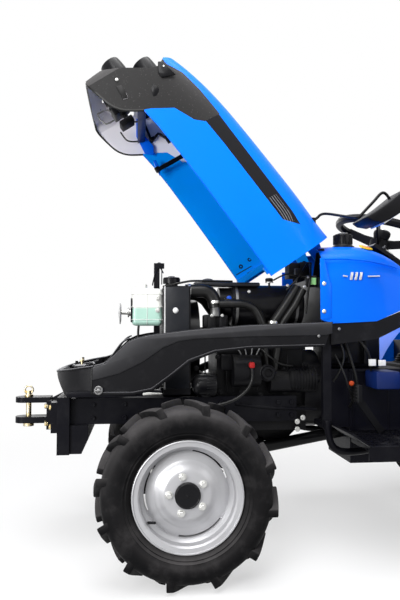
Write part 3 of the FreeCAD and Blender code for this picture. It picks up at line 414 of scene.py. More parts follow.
def given(piece, body, material):
    """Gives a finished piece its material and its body."""
    piece.data.materials.clear()
    piece.data.materials.append(material)
    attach(piece, body)
    return piece


def fixed(piece, material):
    """Gives a piece that stays with the chassis its finish."""
    return given(piece, "chassis", material)


def tyre(name, body, at, side, walls, lugs, count):
    """Carcass and lugs round one axle; walls are (x, radius) on the outer half."""
    half = walls + [(-x, radius) for x, radius in reversed(walls)]
    pieces = [lathe("carcass", half, 96)]
    for row in (1, -1):
        first = lug(row, lugs)
        for step in range(count):
            turn = 360 / count * (step + (0.5 if row < 0 else 0))
            pieces.append(copy_of(first, rotation(turn, "X")))
        bpy.data.objects.remove(first)
    whole = one(pieces, name)
    if side < 0:
        moved(whole, Matrix.Rotation(math.pi, 4, "Z"))
    moved(whole, Matrix.Translation(at))
    given(settled(whole, name, 32), body, tyre_rubber)
    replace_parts(whole, name.replace("_tread", ""))


# Front: 12 lugs a side, 574 mm across the tips and 145 mm wide.
front_walls = [
    (0.048, 0.1535), (0.0515, 0.160), (0.0525, 0.1695), (0.0505, 0.174), (0.054, 0.1765),
    (0.059, 0.186), (0.0605, 0.187), (0.0605, 0.190), (0.0645, 0.196), (0.0655, 0.1965),
    (0.0655, 0.1995), (0.069, 0.208), (0.0705, 0.220), (0.070, 0.234), (0.067, 0.247),
    (0.060, 0.2575), (0.048, 0.2635), (0.028, 0.2665), (0.008, 0.2675),
]
front_lugs = (0.262, 0.287, 0.0655, 0.055, 0.024, 0.006, -0.010)
# Rear: 19 lugs a side, 870 mm across the tips and 210 mm wide.
rear_walls = [
    (0.070, 0.2285), (0.0745, 0.235), (0.076, 0.243), (0.0735, 0.248), (0.080, 0.252),
    (0.088, 0.264), (0.090, 0.265), (0.090, 0.270), (0.097, 0.282), (0.102, 0.302),
    (0.1025, 0.330), (0.0995, 0.356), (0.094, 0.378), (0.084, 0.393), (0.064, 0.402),
    (0.036, 0.4055), (0.010, 0.4065),
]
rear_lugs = (0.400, 0.435, 0.096, 0.095, 0.032, 0.010, -0.020)
sides = [("left", 1, "X"), ("right", -1, "-X")]
wheels = [(f"{end}_{label}", end, side) for label, side, axis in sides for end in ("front", "rear")]
tyre_kinds = {"front": (front_walls, front_lugs, 12), "rear": (rear_walls, rear_lugs, 19)}
for wheel, end, side in wheels:
    low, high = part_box(f"{wheel}_tyre")
    tyre(f"{wheel}_tyre_tread", f"{wheel}_wheel", (low + high) / 2, side, *tyre_kinds[end])


# --------------------------------------------------------------------- rims
# Pressed steel wheels in silver paint: a rolled rim with its lip, seat and well,
# and a welded disc, open in three slits at its edge, with a raised bolted middle.
def silver():
    """Silver wheel paint: fine flake, and road film that darkens it in patches."""
    finish = Finish("wheel_silver", Coat_Weight=0.25, Coat_Roughness=0.2, Metallic=0.35)
    film = finish.noise(7.0, 5.0, 0.6).ramp(0.4, 0.8)
    flake = finish.noise(900.0, 1.0)
    return finish.set(
        Base_Color=finish.mix(film * 0.3, (0.4, 0.4, 0.415), (0.28, 0.275, 0.28)),
        Roughness=film * 0.15 + 0.3 + flake * 0.06,
        Normal=finish.bump(finish.noise(260.0, 2.0), 0.05, 0.0005),
    )


def bare_steel(name, colour, rough):
    """Plated or bare steel with fine scratches and dulled patches."""
    finish = Finish(name, Metallic=1.0)
    dull = finish.noise(40.0, 4.0, 0.6)
    scratch = finish.noise(30.0, 6.0, 0.7, finish.moved(scale=(1, 14, 2)))
    shade = tuple(0.65 * channel for channel in colour)
    return finish.set(
        Base_Color=finish.mix(dull * 0.5, colour, shade),
        Roughness=scratch * 0.2 + (rough - 0.1) + dull * 0.1,
        Normal=finish.bump(scratch, 0.08, 0.0004),
    )


wheel_silver = silver()
bright_steel = bare_steel("bright_steel", (0.62, 0.62, 0.6), 0.28)
dull_steel = bare_steel("dull_steel", (0.2, 0.2, 0.2), 0.4)


def gloss_black_paint():
    """Black gloss enamel, filmed with dust in patches, and paler where it faces up as painted light from
    above.
    """
    finish = Finish("black_gloss", Coat_Weight=0.05, Coat_Roughness=0.1, Specular_IOR_Level=0.12)
    dust = finish.noise(18.0, 5.0, 0.6).ramp(0.45, 0.85)
    return finish.set(
        # painted light: paler on faces that look up, apart from the dust patches
        Base_Color=finish.mix((dust * 0.3 + finish.up(0.0, 0.9) * 0.4).least(1.0),
                              (0.003, 0.003, 0.004), (0.02, 0.02, 0.021)),
        Roughness=dust * 0.2 + 0.3,
        Normal=finish.bump(finish.noise(300.0, 2.0), 0.06, 0.0005),
    )


black_gloss = gloss_black_paint()


def hex_head(name, at, across, tall, washer=0.0, axis="X"):
    """A chamfered hexagon head, on its washer if it has one, facing along an axis."""
    deselect()
    bpy.ops.mesh.primitive_cylinder_add(vertices=6, radius=across / 2, depth=tall, location=(0, 0, 0))
    piece = bpy.context.object
    bpy.ops.object.mode_set(mode="EDIT")
    pick_faces(piece, lambda where, normal: normal.z > 0.9)
    bpy.ops.mesh.inset(thickness=across * 0.07, depth=tall * 0.12)
    bpy.ops.mesh.inset(thickness=across * 0.12, depth=-tall * 0.05)
    bpy.ops.object.mode_set(mode="OBJECT")
    parts = [piece]
    if washer:
        bpy.ops.mesh.primitive_cylinder_add(
            vertices=20, radius=washer / 2, depth=tall * 0.22, location=(0, 0, -tall * 0.5)
        )
        flat = bpy.context.object
        bpy.ops.object.mode_set(mode="EDIT")
        pick_faces(flat, lambda where, normal: normal.z > 0.9)
        bpy.ops.mesh.inset(thickness=washer * 0.03, depth=tall * 0.04)
        bpy.ops.object.mode_set(mode="OBJECT")
        parts.append(flat)
    tilt = {"X": (90, "Y"), "-X": (-90, "Y"), "Y": (-90, "X"), "-Y": (90, "X")}
    angle, letter = tilt[axis]
    whole = one(parts, name)
    moved(whole, Matrix.Translation(at) @ rotation(angle, letter))
    return settled(whole, name, 25)


def rim(name, body, at, side, steps, disc, bolts):
    """A rim ring, its disc with slits, its nuts, its cap and its valve."""
    circle, count, across = bolts["circle"], bolts["count"], bolts["across"]
    ring = lathe("ring", steps, 96)
    plate = lathe("plate", disc, 96)
    edge = disc[0][1]
    only(plate)
    bpy.ops.object.mode_set(mode="EDIT")
    slits = [(math.radians(start), math.radians(start + 62)) for start in (20, 140, 260)]

    def in_slit(where, normal):
        turn = math.atan2(where.z, where.y) % (2 * math.pi)
        reach = math.hypot(where.y, where.z)
        return reach > edge - 0.0055 and any(low < turn < high for low, high in slits)

    pick_faces(plate, in_slit)
    bpy.ops.mesh.delete(type="FACE")
    bpy.ops.object.mode_set(mode="OBJECT")
    whole = one([ring, plate], name)
    nuts = []
    face = max(x for x, radius in disc)
    for step in range(count):
        turn = math.radians(360 / count * step + 34)
        spot = (face + across * 0.3, circle * math.cos(turn), circle * math.sin(turn))
        nuts.append(hex_head("nut", spot, across, across * 0.62, across * 1.35))
    cap_radius = bolts["cap"]
    cap = lathe("cap", [
        (face - 0.004, 0.002), (face - 0.004, cap_radius), (face + 0.008, cap_radius),
        (face + 0.011, cap_radius - 0.003), (face + 0.0115, cap_radius * 0.9),
        (face + 0.0105, cap_radius * 0.86), (face + 0.0115, cap_radius * 0.4),
        (face + 0.012, 0.004), (face + 0.0135, 0.0035), (face + 0.0135, 0.001),
    ], 48)
    valve_turn = math.radians(214)
    seat = bolts["valve"]
    deselect()
    bpy.ops.mesh.primitive_cylinder_add(vertices=14, radius=0.0042, depth=0.034, location=(0, 0, 0))
    valve = bpy.context.object
    bpy.ops.object.mode_set(mode="EDIT")
    pick_faces(valve, lambda where, normal: normal.z > 0.9)
    bpy.ops.mesh.inset(thickness=0.0008)
    bpy.ops.mesh.extrude_region_move(TRANSFORM_OT_translate={"value": (0, 0, 0.004)})
    bpy.ops.mesh.extrude_region_move(TRANSFORM_OT_translate={"value": (0, 0, 0.0001)})
    bpy.ops.transform.resize(value=(1.25, 1.25, 1))
    bpy.ops.mesh.extrude_region_move(TRANSFORM_OT_translate={"value": (0, 0, 0.009)})
    bpy.ops.object.mode_set(mode="OBJECT")
    moved(valve, Matrix.Translation((seat[0], seat[1] * math.cos(valve_turn), seat[1] * math.sin(valve_turn)))
          @ Matrix.Rotation(valve_turn - math.pi / 2, 4, "X") @ rotation(118, "Y"))
    settled(valve, "valve")
    nut_set = one(nuts, f"{name}_nuts")
    black_bits = one([cap, valve], f"{name}_cap_valve")
    for piece, slot, material in (
        (whole, "silver_paint", wheel_silver),
        (nut_set, "steel", bright_steel),
        (black_bits, "gloss_black", black_gloss),
    ):
        if side < 0:
            moved(piece, Matrix.Rotation(math.pi, 4, "Z"))
        moved(piece, Matrix.Translation(at))
        settled(piece, piece.name, 32)
        given(piece, body, material)
    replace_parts(whole, name.replace("_wheel", ""))


def rim_steps(radius, seat, half, gauge=0.004):
    """Across a rim from its outer lip to its inner one, and back along the inside."""
    well = seat - 0.014
    outer = [
        (half + 0.0075, radius - 0.0015), (half + 0.0065, radius), (half + 0.003, radius - 0.0005),
        (half + 0.0005, radius - 0.004), (half - 0.001, seat + 0.004), (half - 0.006, seat),
        (half - 0.026, seat - 0.002), (half - 0.031, seat - 0.006), (half - 0.036, well),
    ]
    over = outer + [(-x, r) for x, r in reversed(outer)]
    inner = [
        (half + 0.008, radius - 0.004), (half + 0.0045, radius - 0.0055), (half + 0.0035, seat),
        (half - 0.0015, seat - gauge - 0.001), (half - 0.0255, seat - gauge - 0.003),
        (half - 0.034, well - gauge + 0.002), (half - 0.0375, well - gauge),
    ]
    return over + [(-x, r) for x, r in inner] + list(reversed(inner))


def disc_steps(edge, plateau, rise, bore, at, gauge=0.005):
    """Out from the welded edge of a wheel disc, up its slope to the raised middle."""
    face = [
        (at, edge), (at + 0.003, edge - 0.006), (at + 0.006, edge - 0.016),
        (at + 0.008, edge - 0.028), (at + 0.010, plateau + 0.016), (at + 0.014, plateau + 0.008),
        (at + rise * 0.6, plateau), (at + rise * 0.88, plateau - 0.008), (at + rise, plateau - 0.018),
        (at + rise, bore),
    ]
    return face + [(x - gauge, r) for x, r in reversed(face)]


front_rim = rim_steps(0.171, 0.152, 0.053)
front_disc = disc_steps(0.1345, 0.086, 0.027, 0.030, 0.007)
front_bolts = {"circle": 0.0575, "count": 5, "across": 0.0185, "cap": 0.040, "valve": (0.040, 0.136)}
rear_rim = rim_steps(0.245, 0.227, 0.076)
rear_disc = disc_steps(0.2095, 0.125, 0.034, 0.040, -0.028)
rear_bolts = {"circle": 0.0875, "count": 6, "across": 0.024, "cap": 0.058, "valve": (0.050, 0.210)}
rim_kinds = {"front": (front_rim, front_disc, front_bolts), "rear": (rear_rim, rear_disc, rear_bolts)}
for wheel, end, side in wheels:
    low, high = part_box(f"{wheel}_tyre")
    rim(f"{wheel}_rim_wheel", f"{wheel}_wheel", (low + high) / 2, side, *rim_kinds[end])


# -------------------------------------------------------- frame and towing jaw
# Two black rails with their cross members, and ahead of them a welded towing jaw
# with a yellow-plated pin, all bolted through plates with hexagon heads.
def refinish(material, *names):
    """Gives CAD pieces their finish."""
    for name in names:
        nodes[name].data.materials.clear()
        nodes[name].data.materials.append(material)


def frame_paint():
    """Chassis black: satin brushed coat, road dust in patches that grows paler on upward faces, partly real
    dust and partly painted light from above, chips to grey primer.
    """
    finish = Finish("frame_black", Specular_IOR_Level=0.08)
    # dust patches weighted to upward faces: partly real dust, partly painted light from above
    dust = finish.noise(11.0, 6.0, 0.62).ramp(0.4, 0.75) * (finish.up(0.2, 1.0) * 0.6 + 0.25)
    chips = (finish.noise(85.0, 3.0, 0.7) > 0.71) * 0.5
    base = finish.mix(dust, (0.003, 0.003, 0.005), (0.024, 0.024, 0.026))
    return finish.set(
        Base_Color=finish.mix(chips * 0.6, base, (0.03, 0.03, 0.03)),
        Roughness=dust * 0.35 + 0.36,
        Normal=finish.bump(finish.noise(190.0, 3.0), 0.12, 0.0006),
    )


def plating():
    """Yellow zinc plate: iridescent patches from gold to grey-green."""
    finish = Finish("yellow_zinc", Metallic=1.0)
    patch = finish.noise(55.0, 3.0)
    return finish.set(
        Base_Color=finish.mix(patch.ramp(0.35, 0.65), (0.62, 0.48, 0.22), (0.5, 0.46, 0.36)),
        Roughness=patch * 0.25 + 0.2,
        Normal=finish.bump(finish.noise(300.0, 2.0), 0.08, 0.0004),
    )


frame_black = frame_paint()
yellow_zinc = plating()
refinish(frame_black, "front_frame", "front_hitch", "cowl_frame", "foot_platforms", "drawbar", "hood_catch")
refinish(yellow_zinc, "front_hitch_pin")


def bolt_row(name, spots, across, axis, material=yellow_zinc):
    """A set of bolt heads with washers, all facing one way, as one piece."""
    heads = [hex_head("head", spot, across, across * 0.6, across * 1.6, axis) for spot in spots]
    fixed(one(heads, name), material)


front_y = frame["joints"][1]["pos_m"][1]


def spot(x, back, height):
    """A place from millimetres to the left, behind the front axle and above the ground."""
    return Vector((x / 1000, front_y + back / 1000, height / 1000))


def put(piece, place, smooth=35):
    """Takes a piece that was modelled round spot(0, 0, 0) to its own place."""
    moved(piece, place @ Matrix.Translation((0, -front_y, 0)))
    return settled(piece, piece.name, smooth)


def on_side(side, run):
    """The places of a run on the left side (1), or the same on the right side (-1)."""
    return [(side * x, back, z) for x, back, z in run]


def carried_over(run):
    """A run from the left side to the middle, carried on to the right side."""
    return run + on_side(-1, run[-2::-1])


def rounded(piece, width, segments=2):
    """Rounds a piece's edges over, in millimetres."""
    bevel = piece.modifiers.new("rounding", "BEVEL")
    bevel.width = width / 1000
    bevel.segments = segments
    bevel.limit_method = "ANGLE"
    only(piece)
    bpy.ops.object.modifier_apply(modifier="rounding")
    outward(piece)
    return piece


def block(name, low, high, edge=2.0, segments=2):
    """A solid block between two corners, its edges rounded."""
    low, high = spot(*low), spot(*high)
    deselect()
    bpy.ops.mesh.primitive_cube_add(size=1, location=(low + high) / 2, scale=high - low)
    piece = bpy.context.object
    bpy.ops.object.transform_apply(location=True, rotation=True, scale=True)
    return settled(rounded(piece, edge, segments), name)


def slab(name, outline, x, edge=1.5):
    """A plate between two X values, cut to an outline of (back, height)."""
    deselect()
    bpy.ops.mesh.primitive_circle_add(vertices=len(outline), fill_type="NGON")
    piece = bpy.context.object
    for corner, (back, height) in zip(piece.data.vertices, outline):
        corner.co = spot(x[0], back, height)
    bpy.ops.object.mode_set(mode="EDIT")
    bpy.ops.mesh.select_all(action="SELECT")
    gauge = (x[1] - x[0]) / 1000
    bpy.ops.mesh.extrude_region_move(TRANSFORM_OT_translate={"value": (gauge, 0, 0)})
    bpy.ops.object.mode_set(mode="OBJECT")
    outward(piece)
    return settled(rounded(piece, edge), name)


def tube(name, places, thick, sides=3, order=3):
    """A bent rod, pipe or hose through (x, back, height) places."""
    line = bpy.data.curves.new(name, "CURVE")
    line.dimensions = "3D"
    line.bevel_depth = thick / 2000
    line.bevel_resolution = sides
    line.use_fill_caps = True
    run = line.splines.new("NURBS")
    run.points.add(len(places) - 1)
    for corner, place in zip(run.points, places):
        corner.co = (*spot(*place), 1)
    run.order_u = order
    run.use_endpoint_u = True
    run.resolution_u = 6
    piece = bpy.data.objects.new(name, line)
    bpy.context.scene.collection.objects.link(piece)
    only(piece)
    bpy.ops.object.convert(target="MESH")
    outward(bpy.context.object)
    return settled(bpy.context.object, name, 50)


facing = {
    "X": Matrix.Identity(4),
    "-X": Matrix.Rotation(math.pi, 4, "Z"),
    "Y": Matrix.Rotation(math.pi / 2, 4, "Z"),
    "-Y": Matrix.Rotation(-math.pi / 2, 4, "Z"),
    "Z": Matrix.Rotation(-math.pi / 2, 4, "Y"),
}


def spun(name, steps, at, along="X", sides=40, squash=(1, 1)):
    """A turned piece: (distance, radius) steps in millimetres, set along one axis."""
    piece = lathe(name, [(x / 1000, max(radius, 0.4) / 1000) for x, radius in steps], sides)
    flat = Matrix.Diagonal((1, squash[0], squash[1], 1))
    moved(piece, Matrix.Translation(spot(*at)) @ facing[along] @ flat)
    return settled(piece, name)


def turned(name, steps, at, along="X", sides=40, squash=(1, 1)):
    """A solid turned piece, closed with a flat end at both ends of its steps."""
    return spun(name, [(steps[0][0], 0), *steps, (steps[-1][0], 0)], at, along, sides, squash)


def twin(piece):
    """The same piece on the tractor's other side."""
    name = piece.name
    other = copy_of(piece, Matrix.Diagonal((-1, 1, 1, 1)))
    settled(other, f"{name}_right")
    outward(other)
    return other


def on_both_sides(piece, material):
    """Fixes a piece of the left side and its twin on the right."""
    fixed(twin(piece), material)
    fixed(piece, material)


bolt_row("jaw_bolts", [spot(x, -491, z) for x in (-46, 46) for z in (442, 506)], 0.019, "-Y")
bolt_row("base_plate_bolts", [spot(x, -468, z) for x in (-90, 90) for z in (436, 506)], 0.019, "-Y")
fixed(block("jaw_shim", (-58, -471.5, 424), (62, -466.5, 523), 0.8), bright_steel)
rail_spots = [(back, z) for back in (-310, -200, 150, 210, 360, 410) for z in (478, 525)]
for label, side, axis in sides:
    heads_at = [spot(side * 172.5, *place) for place in rail_spots]
    bolt_row(f"{label}_rail_bolts", heads_at, 0.017, axis, frame_black)


# ------------------------------------------------------- castings and driveline
# Cast housings: the engine and front axle in black, the gearbox and rear axle in
# deep blue darkened almost to black as painted shade, rough from the sand mould, with
# a film of dust and oil that is paler on upward faces as painted light from above.
def casting(name, colour, dusty):
    """Painted cast iron: sand grain, dust in patches that grows paler where it faces up, partly real dust and
    partly painted light from above, and oily patches.
    """
    finish = Finish(name, Specular_IOR_Level=0.12)
    # dust patches weighted to upward faces: partly real dust, partly painted light from above
    film = finish.noise(13.0, 6.0, 0.65).ramp(0.4, 0.78) * (finish.up(-0.2, 1.0) * 0.7 + 0.2)
    oil = finish.noise(9.0, 3.0, 0.5, finish.moved(location=(3, 1, 2))).ramp(0.55, 0.75)
    sand = finish.noise(330.0, 4.0, 0.7) + finish.cells(240.0) * 0.5
    return finish.set(
        Base_Color=finish.mix(film, colour, dusty),
        Roughness=film * 0.3 + 0.42 + oil * -0.14,
        Normal=finish.bump(sand, 0.3, 0.0012),
    )


black_casting = casting("black_casting", (0.003, 0.003, 0.004), (0.02, 0.0195, 0.019))
# the gearbox's blue darkened almost to black: painted shade
blue_casting_painted_shade = casting("blue_casting_painted_shade", (0.003, 0.003, 0.007), (0.009, 0.009, 0.013))
refinish(black_casting, "engine", "front_axle", "left_knuckle", "right_knuckle", "lift_arms")
refinish(blue_casting_painted_shade, "gearbox_housing", "rear_axle_housing")
refinish(black_gloss, "steering_cylinder", "front_drive_tube", "radiator", "rops_posts", "rops_hoop",
         "lower_links", "exhaust_muffler", "seat_base")
refinish(bright_steel, "steering_cylinder_rod", "pto_shaft")
refinish(dull_steel, "tie_rod", "lift_rods", "top_link")


def hose_rubber():
    """Smooth black hose: slight sheen, chalky patches."""
    finish = Finish("hose_rubber", Specular_IOR_Level=0.25)
    chalk = finish.noise(25.0, 5.0, 0.6).ramp(0.5, 0.8)
    return finish.set(
        Base_Color=finish.mix(chalk * 0.5, (0.006, 0.006, 0.006), (0.022, 0.021, 0.02)),
        Roughness=chalk * 0.2 + 0.33,
        Normal=finish.bump(finish.noise(200.0, 3.0), 0.1, 0.0005),
    )


hose_black = hose_rubber()
refinish(hose_black, "coolant_hoses")


def outside(finish, middle):
    """1 on faces that look away from a middle point, 0 on those that look towards it."""
    away = finish.node("VectorMath", {"operation": "SUBTRACT"}, {0: finish.place, 1: tuple(middle)})
    normal = finish.node("TexCoord", output="Normal")
    share = finish.node("VectorMath", {"operation": "DOT_PRODUCT"}, {0: normal, 1: away}, output="Value")
    return share > 0.0


def moulding(name, dark, light, rise=(0.0, 0.9), inner=None, middle=None, speck=0.0):
    """Textured moulding plastic: a pebble grain, scuffs, paler the more it faces up as painted light from
    above, and an inner face painted pale as painted light.
    """
    finish = Finish(name, Specular_IOR_Level=0.1)
    grain = finish.cells(1100.0) + finish.noise(700.0, 2.0) * 0.4
    scuff = finish.noise(16.0, 6.0, 0.65).ramp(0.5, 0.8)
    # painted light: how far the face looks up sets most of how pale it is
    colour = finish.mix((scuff * 0.07 + finish.up(*rise) * 0.93).least(1.0), dark, light)
    if speck:
        colour = finish.mix((finish.noise(240.0, 2.0) > 0.7) * speck, colour, (0.3, 0.29, 0.29))
    # painted light: inner faces take a pale colour in place of the light that falls on them
    if inner:
        colour = finish.mix(outside(finish, middle), inner, colour)
    return finish.set(
        Base_Color=colour,
        Roughness=scuff * 0.12 + 0.44,
        Normal=finish.bump(grain, 0.25, 0.0004),
    )


# the second colour is the painted light on upward faces
trim_black = moulding("trim_black", (0.004, 0.004, 0.005), (0.15, 0.15, 0.16), (-0.05, 0.9))
# a lighter copy of trim_black for the fairing's shoulder: painted light
ridge_black_painted_light = moulding("ridge_black_painted_light", (0.022, 0.022, 0.024), (0.15, 0.15, 0.16), (-0.05, 0.9))
soft_black = moulding("soft_black", (0.004, 0.004, 0.005), (0.02, 0.02, 0.022))
refinish(trim_black, "side_fairings", "nose_tray", "dash_trim")
refinish(soft_black, "battery", "fan", "steering_column", "steering_wheel", "pedals", "gear_levers")
refinish(black_gloss, "air_cleaner", "fuel_cap", "mirror")


def bottle_plastic():
    """Translucent white expansion bottle, mint green up to the coolant's level."""
    finish = Finish("bottle_plastic", Coat_Weight=0.2)
    wet = 1 - (finish.axis("Z") + finish.noise(30.0) * 0.004).ramp(0.868, 0.874)
    return finish.set(
        Base_Color=finish.mix(wet, (0.76, 0.77, 0.73), (0.36, 0.56, 0.48)),
        Roughness=finish.noise(40.0, 3.0) * 0.2 + 0.3,
        Normal=finish.bump(finish.noise(120.0, 2.0), 0.1, 0.0006),
    )


refinish(bottle_plastic(), "coolant_bottle")


# ------------------------------------------------------------------ engine bay
# Under the open hood: the radiator with its bottle and catch, the air cleaner
# with its clamps and hoses, and the small plated and painted fittings on them.
def paint(name, colour, rough=0.4, metal=0.0):
    """A plain paint, rubber or plastic with scuffs and a fine grain."""
    finish = Finish(name, Metallic=metal, Specular_IOR_Level=0.2)
    scuff = finish.noise(22.0, 5.0, 0.65).ramp(0.45, 0.8)
    worn = tuple(0.6 * channel + 0.01 for channel in colour)
    return finish.set(
        Base_Color=finish.mix(scuff * 0.6, colour, worn),
        Roughness=scuff * 0.15 + rough,
        Normal=finish.bump(finish.noise(380.0, 2.0), 0.1, 0.0004),
    )


light_grey = paint("light_grey", (0.5, 0.5, 0.5))
navy_grey = paint("navy_grey", (0.007, 0.008, 0.011), 0.35)
white_plastic = paint("white_plastic", (0.75, 0.75, 0.74), 0.35)
signal_blue = paint("signal_blue", (0.01, 0.07, 0.45), 0.35)


def core_fins():
    """A radiator core: flat black tubes with a fine corrugated strip between each two."""
    finish = Finish("core_fins", Metallic=0.6, Roughness=0.5)
    tubes = (finish.axis("Z") * 700.0).sine()
    folds = (finish.axis("X") * 2600.0).sine()
    dirt = finish.noise(20.0, 5.0, 0.6)
    return finish.set(
        Base_Color=finish.mix(tubes.ramp(-0.2, 0.5), (0.012, 0.012, 0.013), (0.05, 0.05, 0.052)),
        Roughness=dirt * 0.3 + 0.35,
        Normal=finish.bump(tubes + folds * 0.4, 0.6, 0.001),
    )


def hose(name, places, thick, sides=3):
    """A black rubber hose or cable."""
    fixed(tube(name, places, thick, sides), hose_black)


fixed(block("radiator_fins", (-190, -61, 592), (190, -57.5, 934), 0.6), core_fins())
side_tank = slab("radiator_side", [(-56, 582), (28, 582), (28, 944), (-56, 944)], (203.5, 206.5), 1.2)
on_both_sides(side_tank, navy_grey)
# a light grey strip along the tank's front edge: painted highlight
tank_edge_highlight = slab("tank_edge_highlight", [(-61, 580), (-56, 580), (-56, 946), (-61, 946)], (196, 208), 0.8)
on_both_sides(tank_edge_highlight, light_grey)
tank_bolt = turned("tank_bolt", [(-2, 10), (0, 10), (1, 7.5), (4, 7), (5, 5)], (207, -20, 860), "X", 24)
fixed(tank_bolt, white_plastic)
pressure_cap = turned("pressure_cap", [
    (0, 31), (4, 31.5), (6, 28), (6, 14), (10, 12), (11, 8)],
    (60, -26, 984), "Z", 36)
fixed(pressure_cap, trim_black)
top_tank = block("top_tank_seam", (-198, -64, 940), (198, 36, 946), 2)
fixed(top_tank, black_gloss)

# the bottle's strap, ribs and tabs, and the horn ahead of it
fixed(block("bottle_strap", (104, -179.5, 818), (186, -176.5, 904), 0.8), frame_black)
ribs = [block("rib", (104, -177.5, z), (186.5, -64.5, z + 2), 0.8) for z in (826, 872, 918)]
ribs.append(block("rib", (184.5, -122, 810), (187, -120, 936), 0.8))
fixed(one(ribs, "bottle_ribs"), white_plastic)
bolt_row("bottle_tab_bolts", [spot(189, -83, z) for z in (861, 904)], 0.011, "X", bright_steel)
horn_stub = turned("horn_stub", [
    (0, 13), (8, 13), (9, 18), (13, 18), (14, 9), (36, 8), (38, 15), (41, 15)],
    (150, -177, 854), "-Y", 28)
fixed(horn_stub, bright_steel)
horn = spun("horn_disc", [
    (-3, 0), (-3, 28), (-1, 37), (0, 39), (2, 39), (3, 36), (2, 28), (4, 22), (6, 12), (7, 0)],
    (150, -217, 850), "-Y", 48)
fixed(horn, light_grey)
hose("overflow_hose", [(150, -150, 810), (150, -156, 770), (140, -140, 730), (100, -90, 700)], 9)

# the hood's catch: strap, release rod and the two legs that hold the post
fixed(spun("catch_knob", [(0, 0), (0, 7), (6, 9), (12, 9), (16, 5), (17, 0)],
           (0, -72, 1038), "Z", 24), trim_black)
fixed(tube("catch_rod", [(14, -98, 962), (14, -92, 1000), (14, -70, 1046), (14, -56, 1010)], 5),
      frame_black)
fixed(block("catch_strap", (-13, -63, 968), (-7, -59, 1046), 1), dull_steel)
legs = [tube("leg", [(x, -74, 1000), (1.6 * x, -80, 930), (1.6 * x, -80, 905)], 6) for x in (-16, 16)]
fixed(one(legs, "catch_legs"), frame_black)

# hoses, each with its plated worm clamps
hose("inlet_elbow", [(160, 18, 932), (160, 52, 932), (160, 98, 934), (160, 124, 908), (160, 130, 872)], 50, 5)
hose("breather_hose", [
    (185, 140, 884), (185, 190, 886), (185, 244, 884), (185, 284, 856), (185, 300, 802)], 29, 4)
hose("suction_hose", [(178, 432, 950), (182, 412, 920), (184, 372, 860), (184, 338, 812)], 34, 4)


def clamp(name, at, radius, along):
    """A plated band round a hose, or a dull strap round a canister."""
    band = spun(name, [(-5, radius), (-5, radius + 1.6), (5, radius + 1.6), (5, radius)], at, along)
    fixed(band, bright_steel if radius < 30 else dull_steel)


clamp("elbow_clamp", (160, 32, 932), 25.5, "Y")
clamp("pipe_clamp", (162, 129, 892), 24, "Z")
clamp("canister_clamp_ahead", (85, 212, 884), 81.5, "Y")
clamp("canister_clamp_behind", (85, 440, 884), 77, "Y")
clamp("suction_clamp", (184, 340, 818), 17.5, "Z")
outlet = turned("air_outlet_pipe", [(0, 19), (26, 19), (30, 21), (34, 21), (36, 18), (54, 18)],
                (162, 129, 840), "Z", 32)
fixed(outlet, dull_steel)
housing = [
    block("housing", (118, 85, 796), (166, 176, 846), 7),
    block("housing", (150, 100, 780), (178, 128, 842), 4),
    block("housing", (150, 142, 786), (176, 168, 836), 4),
]
fixed(one(housing, "thermostat_housing"), black_casting)
fixed(block("bay_strip", (70, 52, 952), (150, 300, 967), 5), navy_grey)
fixed(spun("bay_dome", [(-4, 0), (-4, 22), (8, 22), (14, 18), (17, 9), (18, 0)], (110, 107, 966), "Z"),
      trim_black)
fixed(turned("blue_plug", [(0, 9), (9, 9), (12, 5)], (172, 178, 906), "X", 20), signal_blue)
knob = spun("dipstick_knob", [(-30, 0), (-30, 4), (0, 4), (0, 14), (12, 15), (16, 11), (17, 0)],
            (120, 341, 970), "Z", 24)
fixed(knob, trim_black)
fixed(spun("dipstick_ring", [(-2, 4), (-2, 16), (1, 16), (1, 4)], (120, 341, 970), "Z"),
      bright_steel)
bracket = slab("hinge_bracket", [(505, 1086), (527, 1090), (548, 1000), (540, 940), (522, 940), (524, 1000)],
               (205, 211), 1.5)
on_both_sides(bracket, frame_black)
relays = [
    block("relay", (20, 428, 990), (84, 470, 1050), 3), block("relay", (24, 474, 1000), (82, 520, 1054), 3),
    block("relay", (150, 470, 950), (178, 510, 992), 3), block("relay", (150, 430, 992), (172, 452, 1020), 2),
]
fixed(one(relays, "relays"), trim_black)
fixed(block("fuse_label", (176, 484, 958), (179, 506, 984), 0.5),
      paint("pale_green", (0.35, 0.75, 0.3), 0.35))
loom = [
    tube("wire", [(150, 480, 1040), (176, 456, 1010), (168, 430, 970), (150, 400, 940)], 7),
    tube("wire", [(120, 500, 1040), (186, 486, 1000), (190, 470, 930), (180, 466, 850)], 8),
    tube("wire", [(150, 350, 975), (176, 392, 1002), (180, 424, 990), (160, 470, 985)], 6),
    tube("wire", [(100, -60, 952), (150, 20, 968), (150, 60, 972), (120, 200, 972)], 8),
]
fixed(one(loom, "bay_wires"), hose_black)
bolt_row("bay_bolts", [spot(x, back, z) for x, back, z in (
    (192, 250, 930), (184, 430, 900), (178, 476, 985), (186, 300, 830), (196, 150, 842), (196, 112, 842),
    (176, 398, 955), (190, 460, 950))], 0.007, "X", bright_steel)


